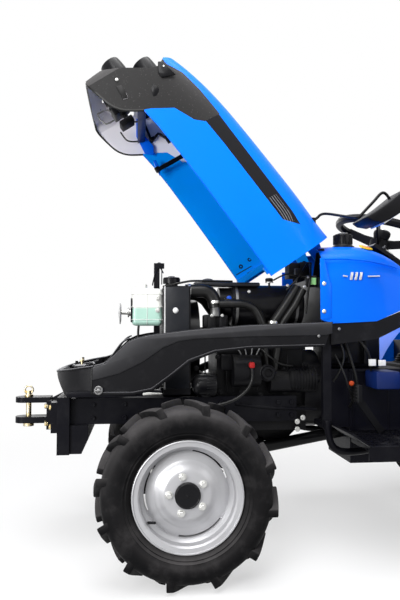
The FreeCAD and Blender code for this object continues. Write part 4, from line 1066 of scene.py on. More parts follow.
# ------------------------------------------------------------- engine's left side
# What shows below the fairing: oil filter, starter wiring with its red boot,
# injection pipes, the belt side and the ribbed alternator.
filter_dome = turned("oil_filter", [
    (0, 36), (4, 38), (62, 38), (74, 34), (84, 22), (88, 10)], (180, 128, 592), "-Y", 48)
fixed(filter_dome, black_gloss)
flutes = []
for step in range(24):
    flute = slab("flute", [(124, 0), (92, 0), (92, 3), (124, 3)], (-2, 2), 0.6)
    swing = rotation(15 * step, "Y")
    moved(flute, Matrix.Translation((0.180, 0, 0.592)) @ swing @ Matrix.Translation((0, 0, 0.0365)))
    flutes.append(settled(flute, "flute"))
fixed(one(flutes, "oil_filter_flutes"), black_gloss)
fixed(block("red_boot", (222, 241, 654), (242, 261, 676), 5),
      paint("red_rubber", (0.4, 0.015, 0.015), 0.45))
hose("starter_cable", [
    (230, 251, 662), (230, 254, 636), (228, 252, 605), (228, 230, 570), (228, 179, 535), (228, 83, 515),
    (200, 23, 507)], 12)
port = turned("pump_port", [
    (-20, 30), (0, 30), (2, 26), (14, 24), (16, 22), (16, 15), (4, 13)],
    (222, 310, 636), "X", 40)
fixed(port, black_casting)
coils = [
    spun("alternator_rib", [(0, 40), (0, 44), (4, 44), (4, 40)], (160, 410 + 11 * step, 608), "Y", 40)
    for step in range(9)
]
body = turned("alternator_body", [
    (-6, 34), (0, 41), (92, 41), (100, 34), (102, 18), (112, 16)],
    (160, 406, 608), "Y", 40)
fixed(one([body, *coils], "alternator"), black_casting)
pipes = [
    tube("pipe", [(150, 226 + 16 * step, 655), (168, 230 + 16 * step, 700), (160, 200 + 34 * step, 730),
                  (130, 190 + 40 * step, 760)], 6)
    for step in range(4)
]
fixed(one(pipes, "injection_pipes"), dull_steel)
fixed(tube("rail_pipe", [(168, 200, 520), (170, 300, 506), (170, 420, 500), (168, 505, 496)], 12),
      frame_black)
rows = [(60, 690), (60, 650), (140, 690), (150, 560), (230, 560), (228, 700), (300, 700), (370, 700),
        (390, 640), (392, 560), (470, 660), (300, 548)]
bolt_row("engine_bolts", [spot(153, *place) for place in rows], 0.013, "X", black_casting)
plain_bolts = [(432, 453), (432, 425), (453, 467), (120, 612), (356, 596)]
bolt_row("rail_bright_bolts", [spot(176, *place) for place in plain_bolts], 0.012, "X",
         bright_steel)
flank = [block("web", (146, back, 560), (152, back + 5, 700), 1.5) for back in (90, 170, 196, 284, 400)]
flank.append(block("web", (146, 60, 716), (156, 470, 728), 3))
flank.append(block("web", (146, 150, 640), (160, 216, 700), 6))
fixed(one(flank, "engine_webs"), black_casting)
wires = [
    tube("wire", [(150, 300, 720), (176, 330, 690), (172, 372, 660), (160, 420, 655)], 8),
    tube("wire", [(200, 560, 800), (220, 590, 740), (214, 600, 660), (200, 560, 600)], 9),
    tube("wire", [(220, 620, 800), (240, 655, 740), (236, 690, 700), (210, 700, 640)], 9),
    tube("wire", [(220, 560, 700), (232, 590, 640), (228, 610, 570), (200, 640, 520)], 7),
    tube("wire", [(180, 600, 780), (200, 640, 660), (190, 660, 560), (150, 640, 500)], 12),
]
fixed(one(wires, "side_wires"), hose_black)
plugs = [
    block("plug", (240, 678, 660), (250, 704, 684), 1.5),
    block("plug", (240, 715, 660), (250, 741, 681), 1.5),
]
fixed(one(plugs, "white_connectors"), white_plastic)
fixed(turned("amber_lamp", [(0, 9), (8, 9), (12, 5)], (232, 616, 597), "X", 20),
      paint("amber", (0.4, 0.05, 0.01), 0.25))

# behind the cowl's post: the steering unit, the step's stays and the lever shield
unit = [
    block("unit", (-70, 566, 640), (70, 800, 812), 12), block("unit", (60, 590, 660), (130, 720, 770), 8),
    turned("unit", [(0, 46), (80, 46), (86, 36)], (100, 560, 700), "Y", 36),
    block("unit", (-150, 700, 660), (150, 716, 790), 4),
]
fixed(one(unit, "steering_unit"), black_casting)
stay_run = [(262, 515, 470), (262, 516, 420), (258, 540, 362), (240, 620, 350), (200, 700, 352)]
stays = [tube("stay", on_side(side, stay_run), 26, 4) for side in (1, -1)]
fixed(one(stays, "step_stays"), frame_black)
cover = block("lever_shield", (150, 700, 575), (262, 791, 640), 8)
# blue paint darkened almost to black: painted shade under the cowl and inside the nose
deep_blue_painted_shade = paint("deep_blue_painted_shade", (0.004, 0.015, 0.09), 0.4)
fixed(cover, deep_blue_painted_shade)


# ------------------------------------------------------- fairings and front tray
# Grained black mouldings along the frame: a raised shoulder above a crease on each
# side, and ahead of them a tray with a rolled rim, held by slotted turn latches.
shoulder_outline = [
    (-304, 622), (-213, 645), (-136, 683), (-69, 730), (-16, 752), (37, 760), (240, 768), (500, 772),
    (524, 778), (524, 817), (231, 806), (24, 789), (-113, 772), (-158, 762), (-189, 748), (-227, 712),
    (-262, 678), (-304, 665),
]
shoulder = slab("fairing_shoulder", shoulder_outline, (298.5, 303.5), 3.2)
lower_edge = slab("fairing_lower_edge", [
    (-302, 576), (-169, 574), (-105, 586), (-45, 628), (23, 681), (109, 715), (230, 728), (495, 734),
    (495, 741), (230, 735), (108, 722), (18, 690), (-49, 637), (-108, 595), (-170, 583), (-302, 584)],
    (299, 302.5), 1.5)
flat_bar = slab("fairing_bar", [(-390, 570), (-380, 566), (-80, 568), (-72, 574), (-72, 586), (-390, 586)],
                (286, 297), 2)
# the black bar's end in bright steel: painted highlight
bar_end_highlight = slab("fairing_bar_end", [(-136, 571), (-76, 571), (-70, 577), (-136, 583)], (296.5, 299.5), 1)
seam = slab("fairing_seam", [(-308, 577), (-304, 577), (-304, 664), (-308, 664)], (299, 302), 0.8)
for piece, slot, finish in (
    (shoulder, "black_plastic", ridge_black_painted_light), (lower_edge, "black_plastic", trim_black),
    (flat_bar, "black_paint", frame_black), (bar_end_highlight, "steel", bright_steel), (seam, "hose", hose_black),
):
    on_both_sides(piece, finish)

latch_steps = [
    (0, 0), (0, 13), (3, 15), (8, 15), (10, 13), (10, 10), (7, 9), (7, 7), (11, 6), (12, 4), (12, 0)]
for label, side, axis in sides:
    latch = spun("latch", latch_steps, (299 * side, -283, 590), axis, 32)
    blade = block("blade", (310.5 * side - 1.5, -294, 588), (310.5 * side + 1.5, -272, 592), 1)
    fixed(one([latch, blade], f"fairing_latch_{label}"), dull_steel)
    heads = [turned("head", [(0, 5.5), (2, 5), (3.5, 2.5)], (302.5 * side, *place), axis, 20)
             for place in ((474, 769), (548, 794))]
    fixed(one(heads, f"fairing_screws_{label}"), dull_steel)

rim_left = [(290, -300, 668), (282, -317, 665), (267, -345, 661), (249, -370, 656), (227, -391, 652),
            (172, -425, 645), (102, -446, 639), (0, -453, 637)]
fixed(tube("tray_rim", carried_over(rim_left), 9), trim_black)
inner_left = [(284, -306, 667), (284, -272, 674), (284, -251, 687), (284, -230, 717), (284, -201, 757),
              (284, -180, 762)]
for label, side, axis in sides:
    fixed(tube(f"fairing_roll_{label}", on_side(side, inner_left), 7), trim_black)
stud = turned("tray_stud", [
    (0, 7), (3, 7), (3, 4.5), (20, 4.5), (20, 8), (27, 8), (28, 4), (32, 4)],
    (123, -355, 656), "Z", 20)
fixed(stud, yellow_zinc)
tray_bits = [
    block("bit", (60, -392, 652), (110, -340, 662), 3), block("bit", (150, -372, 660), (236, -336, 668), 3),
    slab("bit", [(-345, 660), (-300, 660), (-290, 684), (-300, 684)], (180, 186), 1.5),
    tube("bit", [(40, -380, 656), (100, -330, 668), (180, -310, 676), (250, -300, 672)], 8),
]
fixed(one(tray_bits, "tray_fittings"), trim_black)

# weld beads along the towing jaw and its base plate
welds = [tube("weld", [(-52, -488, z), (0, -487, z), (52, -488, z)], 7, 2) for z in (463, 519)]
welds += [tube("weld", [(x, -414, 420), (x, -414, 525)], 6, 2) for x in (-100, 100)]
fixed(one(welds, "jaw_welds"), frame_black)


# --------------------------------------------------------------------- hood
# The pressed steel hood stands open on its rear hinge. It is sprayed blue with a
# clear coat, and carries a black side band that runs back from the nose moulding.
hood_hinge = next(joint for joint in frame["joints"] if joint["name"] == "hood_hinge")
hinge_at = Vector(hood_hinge["pos_m"])
open_angle = 56.5
lift = rotation(-open_angle, "X")
raised = Matrix.Translation(hinge_at) @ lift @ Matrix.Translation(-hinge_at)
shut_shift = hinge_at - lift.inverted() @ hinge_at


def shut_place(finish):
    """Distance behind the front axle and height, as they are with the hood shut."""
    shut = finish.moved(location=tuple(shut_shift), turn=(open_angle, 0, 0))
    return finish.axis("Y", shut) - front_y, finish.axis("Z", shut)


hood_middle = raised @ spot(0, 60, 800)


def line(through, to, value):
    """A straight edge of the band, as a value along one axis worked out from the other."""
    slope = (to[1] - through[1]) / (to[0] - through[0])
    return value * slope + (through[1] - slope * through[0])


def hood_paint(name, band, sprayed):
    """Blue spray under a clear coat, dusty in patches; with the band, its vinyl and stripes, and inner faces
    painted a brighter blue as painted light.
    """
    finish = Finish(name, Coat_Roughness=0.06, Specular_IOR_Level=0.06)
    back, height = shut_place(finish)
    dust = finish.noise(6.0, 5.0, 0.6).ramp(0.45, 0.8)
    blue = finish.mix(dust * 0.25, sprayed, tuple(0.87 * channel for channel in sprayed))
    colour, rough, clear = blue, dust * 0.1 + 0.36, dust * -0.04 + 0.08
    if band:
        low = line((-0.093, 0.942), (0.006, 0.953), back).least(line((0.006, 0.953), (0.346, 0.977), back))
        high = line((-0.034, 1.005), (0.343, 1.028), back).least(line((0.343, 1.028), (0.395, 1.025), back))
        ahead = line((0.942, -0.123), (1.005, -0.094), height)
        behind_it = line((0.977, 0.346), (1.025, 0.395), height)
        inside_band = (height > low) * (height < high) * (back > ahead) * (back < behind_it)
        outer = outside(finish, hood_middle)
        mask = inside_band * outer
        across = (height - low) / (high - low)
        foot = (back - 0.305).most(0.0)
        curve = across + foot * foot * 40.0
        stripe = ((curve * 5.5).math("FRACT") < 0.26) * (across > 0.1) * (across < 0.75)
        stripe = stripe * (back > 0.255) * (back < 0.372)
        vinyl = finish.mix(stripe * 0.6, (0.01, 0.01, 0.012), (0.3, 0.3, 0.32))
        # painted light: the hood's inner faces take a brighter blue than the spray outside
        colour = finish.mix(mask, finish.mix(outer, (0.0, 0.32, 1.0), blue), vinyl)
        rough = rough + mask * 0.06
    return finish.set(
        Base_Color=colour,
        Roughness=rough,
        Coat_Weight=clear,
        Normal=finish.bump(finish.noise(260.0, 2.0), 0.035, 0.0004),
    )


hood_blue = hood_paint("hood_blue", True, (0.0, 0.18, 0.96))
# the hood's blue darkened for the cowl, fenders and fittings: painted shade
body_blue_painted_shade = hood_paint("body_blue_painted_shade", False, (0.0, 0.14, 0.86))
refinish(hood_blue, "hood_shell")


# the pale lilac inside of the nose is painted light; paler upward faces outside are painted light too
nose_plastic = moulding("nose_plastic", (0.008, 0.008, 0.008), (0.055, 0.053, 0.054), (-0.3, 0.8),
                        (0.93, 0.91, 0.96), hood_middle, 0.25)
refinish(nose_plastic, "hood_nose")


# -------------------------------------------------------------------- hood fittings
# On the nose: four lamp hoods with their lenses, gloss recesses and a vent on each
# side, the grille and a rubber lip. Under it: brackets, hooks, wiring, the strut.
def on_hood(piece, material):
    """Swings a piece that was modelled on the shut hood up with it, and finishes it."""
    moved(piece, raised)
    settled(piece, piece.name)
    outward(piece)
    return given(piece, "hood", material)


def clear_lens(name, colour, rough):
    """Moulded lens plastic with fine vertical flutes."""
    finish = Finish(name, Coat_Weight=0.5, Coat_Roughness=0.04)
    flutes = (finish.axis("X") * 900.0).sine()
    return finish.set(
        Base_Color=finish.mix(finish.noise(30.0, 2.0) * 0.3, colour, tuple(0.7 * c for c in colour)),
        Roughness=finish.noise(60.0) * 0.1 + rough,
        Normal=finish.bump(flutes, 0.3, 0.001),
    )


lamp_glass = clear_lens("lamp_glass", (0.45, 0.47, 0.5), 0.08)
lenses = []
for row, (back, height) in enumerate([(-440, 785), (-383, 885)]):
    for side in (1, -1):
        at = (151 * side, back, height)
        hood_ring = spun(f"lamp_hood_{row}_{side > 0}", [
            (-34, 57), (-12, 58), (6, 57), (26, 54), (40, 50.5), (43.5, 49), (43, 47), (39, 46.5),
            (20, 49), (0, 50), (-34, 49)], at, "-Y", 56, (1, 0.76))
        on_hood(hood_ring, black_gloss)
        bowl = spun(f"lamp_bowl_{row}_{side > 0}", [
            (-26, 12), (-24, 28), (-16, 39), (-6, 45.5), (-4, 45.5), (-17, 36), (-28, 24), (-30, 12)],
            at, "-Y", 48, (1, 0.72))
        on_hood(bowl, bright_steel)
        lenses.append(spun("lens", [
            (-10, 46), (-3, 40), (1, 26), (3, 12), (3.5, 0), (0, 0), (-2, 24), (-7, 38), (-14, 46)],
            at, "-Y", 48, (1, 0.72)))
glass = on_hood(one(lenses, "lamp_lenses"), lamp_glass)
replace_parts(glass, "headlamps")

recess = slab("nose_recess", [(-363, 913), (-329, 892), (-307, 894), (-290, 943), (-355, 928)], (257, 264), 3)
patch = slab("nose_patch", [
    (-362, 738), (-312, 734), (-306, 752), (-340, 760), (-360, 756)], (257, 261.5), 2.5)
vent = slab("nose_vent", [
    (-306, 853), (-290, 836), (-266, 829), (-262, 840), (-268, 854), (-276, 862), (-287, 864)],
    (257, 262), 2.5)
for piece, finish in ((recess, black_gloss), (patch, nose_plastic), (vent, black_gloss)):
    on_hood(twin(piece), finish)
    on_hood(piece, finish)
screws = [hex_head("screw", spot(264 * side, back, z), 0.007, 0.004, 0.011, axis)
          for side, axis in ((1, "X"), (-1, "-X")) for back, z in ((-338, 921), (-382, 754))]
on_hood(one(screws, "nose_screws"), bright_steel)
bump_cover = spun("nose_boss", [(-20, 14), (0, 14), (8, 11), (11, 6), (11, 0)], (150, -424, 833), "-Y", 28)
on_hood(bump_cover, nose_plastic)

lip_right = [(-262, -241, 776), (-261, -263, 735), (-260, -285, 707), (-259, -316, 685), (-257, -367, 671),
             (-243, -425, 657), (-215, -444, 664), (-150, -448, 664), (0, -450, 664)]
on_hood(tube("nose_lip", carried_over(lip_right), 8, 2), hose_black)
hem = [(490, 828), (314, 821), (90, 809), (-57, 799), (-171, 788), (-241, 776)]
widths = [287, 281, 273, 267, 264, 262]
for label, side, axis in sides:
    run = [(side * (width - 1), back, z) for width, (back, z) in zip(widths, hem)]
    on_hood(tube(f"hood_hem_{label}", run, 4.5, 2, 2), body_blue_painted_shade)

slats = []
for step in range(11):
    height = 727 + 14 * step
    face = -470 + 0.72 * max(height - 740, 0)
    slats.append(block("slat", (-80, face + 6, height), (80, face + 34, height + 4.5), 1.5))
upright = [(-462, 722), (-440, 722), (-360, 872), (-384, 872), (-452, 745)]
slats += [slab("slat", upright, (x - 2, x + 2), 1) for x in (-40, 0, 40)]
on_hood(one(slats, "grille"), trim_black)

# what shows inside the nose from below
inner_bracket = slab("nose_bracket", [
    (-409, 851), (-319, 792), (-235, 782), (-209, 813), (-242, 832), (-306, 825), (-390, 884)],
    (-246, -238), 2)
on_hood(inner_bracket, body_blue_painted_shade)
cross_bar = slab("nose_cross_bar", [(-359, 825), (-343, 848), (-279, 812), (-290, 780)], (-244, 244), 2)
on_hood(cross_bar, deep_blue_painted_shade)
strut_plate = slab("strut_plate", [(-185, 790), (-111, 778), (-142, 799), (-180, 803)], (-220, -211), 1.5)
on_hood(strut_plate, body_blue_painted_shade)
strut = tube("gas_strut", [(-200, -137, 790), (-200, -134, 850), (-200, -131, 920)], 20, 4, 2)
strut_end = block("end", (-211, -150, 772), (-189, -126, 794), 4)
on_hood(one([strut, strut_end], "gas_strut"), black_gloss)
strut_rod = tube("gas_strut_rod", [(-200, -131, 910), (-200, -129, 985)], 9, 3, 2)
on_hood(strut_rod, bright_steel)
frame_ring = tube("latch_frame", [
    (-60, -374, 683), (-60, -400, 672), (-60, -426, 676), (-60, -424, 700), (-60, -419, 720),
    (-60, -402, 729), (-60, -370, 728), (-60, -370, 700), (-60, -374, 683)], 6, 3, 2)
on_hood(frame_ring, dull_steel)
cup_steps = [(0, 0), (0, 32), (26, 44), (34, 46), (34, 30), (30, 0)]
cups = [spun("cup", cup_steps, (x, *place), "-Y", 36, (1, 0.72))
        for place in ((-398, 785), (-342, 885)) for x in (-151, 151)]
cups += [turned("plug", [(0, 11), (14, 11), (15, 8), (24, 8)], (x, back, z), "Y", 18)
         for x in (-151, 151) for back, z in ((-400, 785), (-344, 885))]
on_hood(one(cups, "lamp_backs"), trim_black)
looms = [
    tube("wire", [(-200, -358, 738), (-200, -322, 736), (-200, -299, 751), (-200, -286, 778)], 6.6),
    tube("wire", [(-151, -372, 785), (-120, -330, 800), (-60, -320, 830), (0, -318, 846)], 7),
    tube("wire", [(151, -372, 785), (120, -330, 812), (60, -320, 840), (0, -318, 846)], 7),
    tube("wire", [
        (151, -318, 885), (90, -290, 880), (0, -300, 862), (-110, -300, 880), (-151, -318, 885)], 7),
    tube("wire", [(0, -318, 846), (-80, -250, 900), (-190, -200, 930), (-234, -120, 950)], 8),
    tube("hook", [
        (-240, -349, 853), (-240, -322, 849), (-240, -264, 837), (-240, -280, 882), (-240, -220, 909)],
        11, 3, 2),
    tube("hook", [(120, -372, 700), (130, -330, 720), (130, -316, 752), (118, -330, 780)], 8),
]
on_hood(one(looms, "nose_wires"), hose_black)
blocks = [
    block("box", (-140, -360, 736), (-70, -333, 795), 4), block("box", (110, -330, 831), (160, -226, 850), 5),
    block("box", (-210, -243, 886), (-192, -209, 904), 3), block("box", (60, -352, 700), (140, -318, 722), 4),
    slab("box", [(-515, 717), (-481, 710), (-452, 704), (-470, 730)], (-130, -110), 2),
]
on_hood(one(blocks, "nose_boxes"), trim_black)
holes = [spun("grommet", [(-2, 4), (-2, 9), (0, 10), (2, 9), (2, 4)], (-280, back, z), "X", 20)
         for back, z in ((405, 924), (410, 873))]
holes += [slab("slot", [(428, 835), (432, 835), (439, 966), (435, 966)], (-282, -279.5), 0.5),
          slab("slot", [(449, 880), (453, 880), (464, 966), (460, 966)], (-282, -279.5), 0.5)]
on_hood(one(holes, "hood_inner_slots"), trim_black)


# ------------------------------------------------------------------------- cowl
# The cowl is pressed steel in the hood's blue, painted a darker blue here as painted shade, with a
# flange at its front edge, a pressed crease near its top, a filler cap, a round badge and a bright side
# strip.
refinish(body_blue_painted_shade, "dash_cowl", "fenders")
red_glass = clear_lens("red_glass", (0.5, 0.01, 0.01), 0.12)
refinish(red_glass, "rear_lamps")

flange = slab("cowl_flange", [
    (491, 828), (520, 828), (532, 832), (532, 952), (526, 962), (508, 1040), (500, 1046), (491, 1046)],
    (270.5, 274), 1.5)
on_both_sides(flange, body_blue_painted_shade)
for label, side, axis in sides:
    heads = [turned("head", [(0, 8), (2, 7.5), (4.5, 4)], (273.5 * side, *place), axis, 20)
             for place in ((505, 955), (504, 856))]
    fixed(one(heads, f"cowl_screws_{label}"), bright_steel)
crease_line = [(268, 496, 1042), (268, 560, 1046), (264, 640, 1043), (258, 720, 1034), (250, 790, 1016)]
for label, side, axis in sides:
    fixed(tube(f"cowl_crease_{label}", on_side(side, crease_line), 7), body_blue_painted_shade)
trim_strip = one([
    slab("bar", [(575, 981), (592, 979), (592, 984), (575, 986)], (270, 275), 1),
    *[slab("bar", [(start, 969), (start + 9, 969), (start + 14, 997), (start + 5, 997)], (270, 275), 1)
      for start in (600, 617, 634)],
    slab("bar", [(668, 980), (713, 982), (713, 986), (668, 985)], (266, 274), 1),
], "cowl_badge")
on_both_sides(trim_strip, bright_steel)

cap = spun("cap", [
    (0, 0), (0, 43), (5, 44), (9, 43), (13, 37), (18, 34), (53, 34), (57, 31), (58, 22), (60, 21), (61, 0)],
    (120, 632, 1100), "Z", 60)
grips = []
for step in range(20):
    grip = block("grip", (-2.4, 32, 1118), (2.4, 37, 1154), 1.2)
    grip_turn = rotation(18 * step, "Z")
    grips.append(put(grip, Matrix.Translation(spot(120, 632, 0)) @ grip_turn))
cap_piece = fixed(one([cap, *grips], "filler_cap"), black_gloss)
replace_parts(cap_piece, "fuel_cap")
disc = turned("cap_disc", [(0, 19), (1.6, 18)], (120, 632, 1160.5), "Z", 40)
fixed(disc, light_grey)
badge_lean = rotation(-12, "X") @ rotation(22, "Y")
for name, radius, shoulder, top, colour in (
    ("badge_rim", 26, 0.0, 0.4, (0.75, 0.5, 0.01)), ("badge_middle", 17, 1.0, 1.4, (0.75, 0.2, 0.02)),
):
    plate = turned(name, [(-3, radius), (shoulder, radius), (top, radius - 1)], (0, 0, 0), "Z", 40)
    put(plate, Matrix.Translation(spot(168, 705, 1103)) @ badge_lean)
    fixed(plate, paint(name, colour, 0.35))

# --------------------------------------------------------------- driver's mirror
# The mirror: a black moulded head with its glass, on a bent steel rod that stands on
# a foot at the hood's rear corner, so that it tips over with the hood.
rod = tube("mirror_rod", [
    (185, 488, 1194), (187, 510, 1206), (192, 520, 1220), (206, 540, 1221), (300, 564, 1194),
    (385, 578, 1172), (404, 585, 1170), (405, 605, 1192), (405, 640, 1228), (405, 662, 1254),
    (405, 676, 1256), (404, 692, 1238), (400, 705, 1216)], 10, 4)
given(rod, "hood", black_gloss)
head = slab("mirror_head", [
    (585, 1160), (612, 1176), (661, 1209), (728, 1262), (742, 1264), (748, 1240), (731, 1201),
    (704, 1177), (664, 1152), (638, 1142), (604, 1147)], (330, 470), 6)
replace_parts(given(head, "hood", soft_black), "mirror")
glass_plate = slab("mirror_glass", [(648, 1146), (651, 1140), (728, 1192), (724, 1197)], (345, 455), 1)
given(glass_plate, "hood", bright_steel)
foot = block("mirror_foot", (165, 470, 1180), (205, 500, 1206), 4)
given(foot, "hood", black_gloss)


# --------------------------------------------------------------- driver's place
# Seat cushions in black vinyl over foam, sewn with welts and channels; the wheel's
# boss and grip, lever knobs and boots, pedal rubbers, floor treads and gauges.
def vinyl():
    """Grained vinyl with fine creases."""
    finish = Finish("seat_vinyl", Specular_IOR_Level=0.35)
    grain = finish.cells(700.0)
    crease = finish.noise(24.0, 6.0, 0.7)
    return finish.set(
        Base_Color=finish.mix(crease.ramp(0.45, 0.8) * 0.6, (0.008, 0.008, 0.009), (0.026, 0.025, 0.025)),
        Roughness=crease * 0.25 + 0.32,
        Normal=finish.bump(grain * 0.4 + crease, 0.35, 0.001),
    )


seat_vinyl = vinyl()


def stuffed(piece, name, cap):
    """Blows a soft block up as cloth over foam, no point moving further than cap millimetres."""
    only(piece)
    piece.data.remesh_voxel_size = 0.006
    bpy.ops.object.voxel_remesh()
    start = [corner.co.copy() for corner in piece.data.vertices]
    cloth = piece.modifiers.new("stuffing", "CLOTH")
    cloth.settings.use_pressure = True
    cloth.settings.uniform_pressure_force = 4
    cloth.settings.effector_weights.gravity = 0
    for step in range(1, 21):
        bpy.context.scene.frame_set(step)
    seen_now = piece.evaluated_get(bpy.context.evaluated_depsgraph_get())
    blown = [corner.co.copy() for corner in seen_now.data.vertices]
    piece.modifiers.remove(cloth)
    for corner, home, away in zip(piece.data.vertices, start, blown):
        shift = away - home
        corner.co = home + shift * min(1.0, cap / 1000 / max(shift.length, 0.00001))
    bpy.context.scene.frame_set(1)
    finer = piece.modifiers.new("finer", "SUBSURF")
    finer.levels = finer.render_levels = 1
    only(piece)
    bpy.ops.object.modifier_apply(modifier="finer")
    return settled(piece, name, 60)


def padding(name, low, high, cap, pinch):
    """A rounded pad whose sides pull in between its corners."""
    piece = block(name, low, high, 16, 3)
    only(piece)
    bpy.ops.object.mode_set(mode="EDIT")
    bpy.ops.mesh.select_all(action="SELECT")
    bpy.ops.mesh.subdivide(number_cuts=7)
    bpy.ops.object.mode_set(mode="OBJECT")
    middle = (spot(*low) + spot(*high)) / 2
    reach = (spot(*high) - spot(*low)) / 2
    for corner in piece.data.vertices:
        far = corner.co - middle
        x, y, z = (far[i] / reach[i] for i in range(3))
        corner.co.x -= math.copysign(pinch / 1000 * (1 - min(y * y, 1)), x) * abs(x) ** 3
        corner.co.y -= math.copysign(pinch / 1000 * (1 - min(x * x, 1)), y) * abs(y) ** 3
    return stuffed(piece, name, cap)


seat_pads = []
for side in (-1, 1):
    low, high = sorted([side * 6, side * 212])
    label = "left" if side > 0 else "right"
    seat_pads.append(padding(f"seat_pad_{label}", (low, 1062, 808), (high, 1410, 880), 14, 5))
lean = math.atan2(66, 310)
for step, (bottom, top) in enumerate([(0, 98), (102, 198), (202, 292)]):
    pad = padding(f"back_pad_{step}", (-206, -26, bottom), (206, 26, top), 11, 5)
    seat_pads.append(put(pad, Matrix.Translation(spot(0, 1396, 900)) @ Matrix.Rotation(-lean, 4, "X"), 60))
for pad in seat_pads:
    fixed(pad, seat_vinyl)
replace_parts(seat_pads[0], "seat_cushions")
piping = [tube("welt", [(x, 1056, 892), (x, 1052, 848), (x, 1062, 806), (x, 1240, 803), (x, 1418, 806)], 6)
          for x in (-219, 219)]
piping.append(tube("welt", [(-219, 1056, 892), (0, 1052, 894), (219, 1056, 892)], 6))
fixed(one(piping, "seat_welts"), seat_vinyl)

# the steering wheel: a boss cap with its bright ring, and a grip round the rim
wheel_tilt = Matrix.Translation(spot(0, 846, 1190)) @ rotation(-15, "X")


def on_wheel(piece, material=soft_black):
    """Sets a piece on the tilted steering wheel."""
    given(put(piece, wheel_tilt), "steering_wheel", material)


on_wheel(spun("wheel_boss", [
    (-34, 0), (-34, 28), (-12, 34), (-2, 34), (4, 29), (6.5, 18), (7, 0)], (0, 0, 0), "Z", 48))
badge_ring = spun("wheel_ring", [(3, 23), (7, 23), (7, 19), (3, 19)], (0, 0, 0), "Z", 40)
on_wheel(badge_ring, bright_steel)
on_wheel(spun("wheel_grip", [
    (-16, 178), (-14.5, 168), (0, 163), (14, 170), (16, 178), (12, 188), (0, 192.5), (-12, 189)],
    (0, 0, 0), "Z", 96))

# lever knobs and boots, pedal rubbers, tread on the floors, and the instruments
rubber_black = paint("rubber_black", (0.008, 0.008, 0.009), 0.55)
for name, x, back, low, high, radius in (
    ("main_knob", 99, 990, 876, 934, 21), ("range_knob", -102.5, 994, 846, 899, 19),
):
    tall = high - low
    grip = spun(name, [
        (0, 0), (0, 0.5 * radius), (0.12 * tall, 0.62 * radius), (0.35 * tall, 0.98 * radius),
        (0.6 * tall, radius), (0.85 * tall, 0.86 * radius), (0.97 * tall, 0.5 * radius), (tall, 0)],
        (x, back, low), "Z", 36)
    fixed(grip, black_gloss)
boot_steps = [
    (0, 36), (3, 38), (7, 27), (13, 32), (17, 23), (23, 27), (27, 18), (33, 21), (38, 12), (40, 8)]
boots = [turned("boot", boot_steps, (x, back, 652), "Z", 32) for x, back in ((75, 942), (-77, 960))]
fixed(one(boots, "lever_boots"), rubber_black)
pads = []
for x in (215, -195, -272):
    pads.append(block("pad", (x - 34, 633, 527), (x + 34, 641, 593), 3))
    pads += [block("pad", (x - 30, 629.5, z), (x + 30, 634, z + 5), 1.5) for z in (535, 547, 559, 571, 583)]
fixed(one(pads, "pedal_rubbers"), rubber_black)


def row_of(piece, count, shift):
    """Repeats a piece in a straight row."""
    row = piece.modifiers.new("row", "ARRAY")
    row.count = count
    row.use_relative_offset = False
    row.use_constant_offset = True
    row.constant_offset_displace = [part / 1000 for part in shift]
    only(piece)
    bpy.ops.object.modifier_apply(modifier="row")
    return piece


for label, side, axis in sides:
    middle = 302 * side
    bars = []
    for start, turn in ((0, 45), (17, -45)):
        bar = block("bar", (-9, -2.2, 411.5), (9, 2.2, 414.5), 0.8, 1)
        place = Matrix.Translation(spot(middle - 136, 618 + start, 0))
        put(bar, place @ rotation(turn, "Z"))
        bars.append(row_of(row_of(bar, 9, (34, 0, 0)), 10, (0, 34, 0)))
    fixed(one(bars, f"floor_tread_{label}"), frame_black)
    edge = tube(f"floor_edge_{label}", [(side * 449, back, 412) for back in (596, 760, 956)], 8)
    fixed(edge, frame_black)

panel_turn = Matrix.Translation(spot(0, 812, 1083)) @ rotation(-32.6, "X")


def on_panel(piece, material):
    """Sets a piece on the sloping dash panel."""
    fixed(put(piece, panel_turn), material)


dial = 38
for x in (-92, 92):
    bezel = spun(f"gauge_bezel_{x > 0}", [
        (0, dial), (9, dial), (12, dial - 3), (9, dial - 5), (6, dial - 6), (0, dial - 6)],
        (x, 0, 0), "Z", 48)
    on_panel(bezel, bright_steel)
    face = turned(f"gauge_face_{x > 0}", [(0, dial - 5), (4, dial - 5)], (x, 0, 0), "Z", 48)
    on_panel(face, light_grey)
    marks = [spun("mark", [(4, 0), (4, 5), (7, 4), (8, 0)], (x, 0, 0), "Z", 20)]
    for step in range(9):
        tick = block("tick", (-1, dial - 13, 4), (1, dial - 8, 4.8), 0.3, 1)
        around = Matrix.Translation((x / 1000, 0, 0)) @ rotation(30 * step - 120, "Z")
        marks.append(put(tick, Matrix.Translation((0, front_y, 0)) @ around))
    marks.append(block("needle", (x - 1.2, 0, 5), (x + 1.2, dial - 12, 6), 0.4, 1))
    on_panel(one(marks, f"gauge_marks_{x > 0}"), rubber_black)
switches = [spun("switch", [(0, 0), (0, 9), (6, 9), (8, 6), (16, 5), (18, 0)], (x, y, 0), "Z", 24)
            for x, y in ((-40, 22), (40, 22), (-40, -20), (40, -20), (140, -30), (-140, -30))]
on_panel(one(switches, "dash_switches"), trim_black)


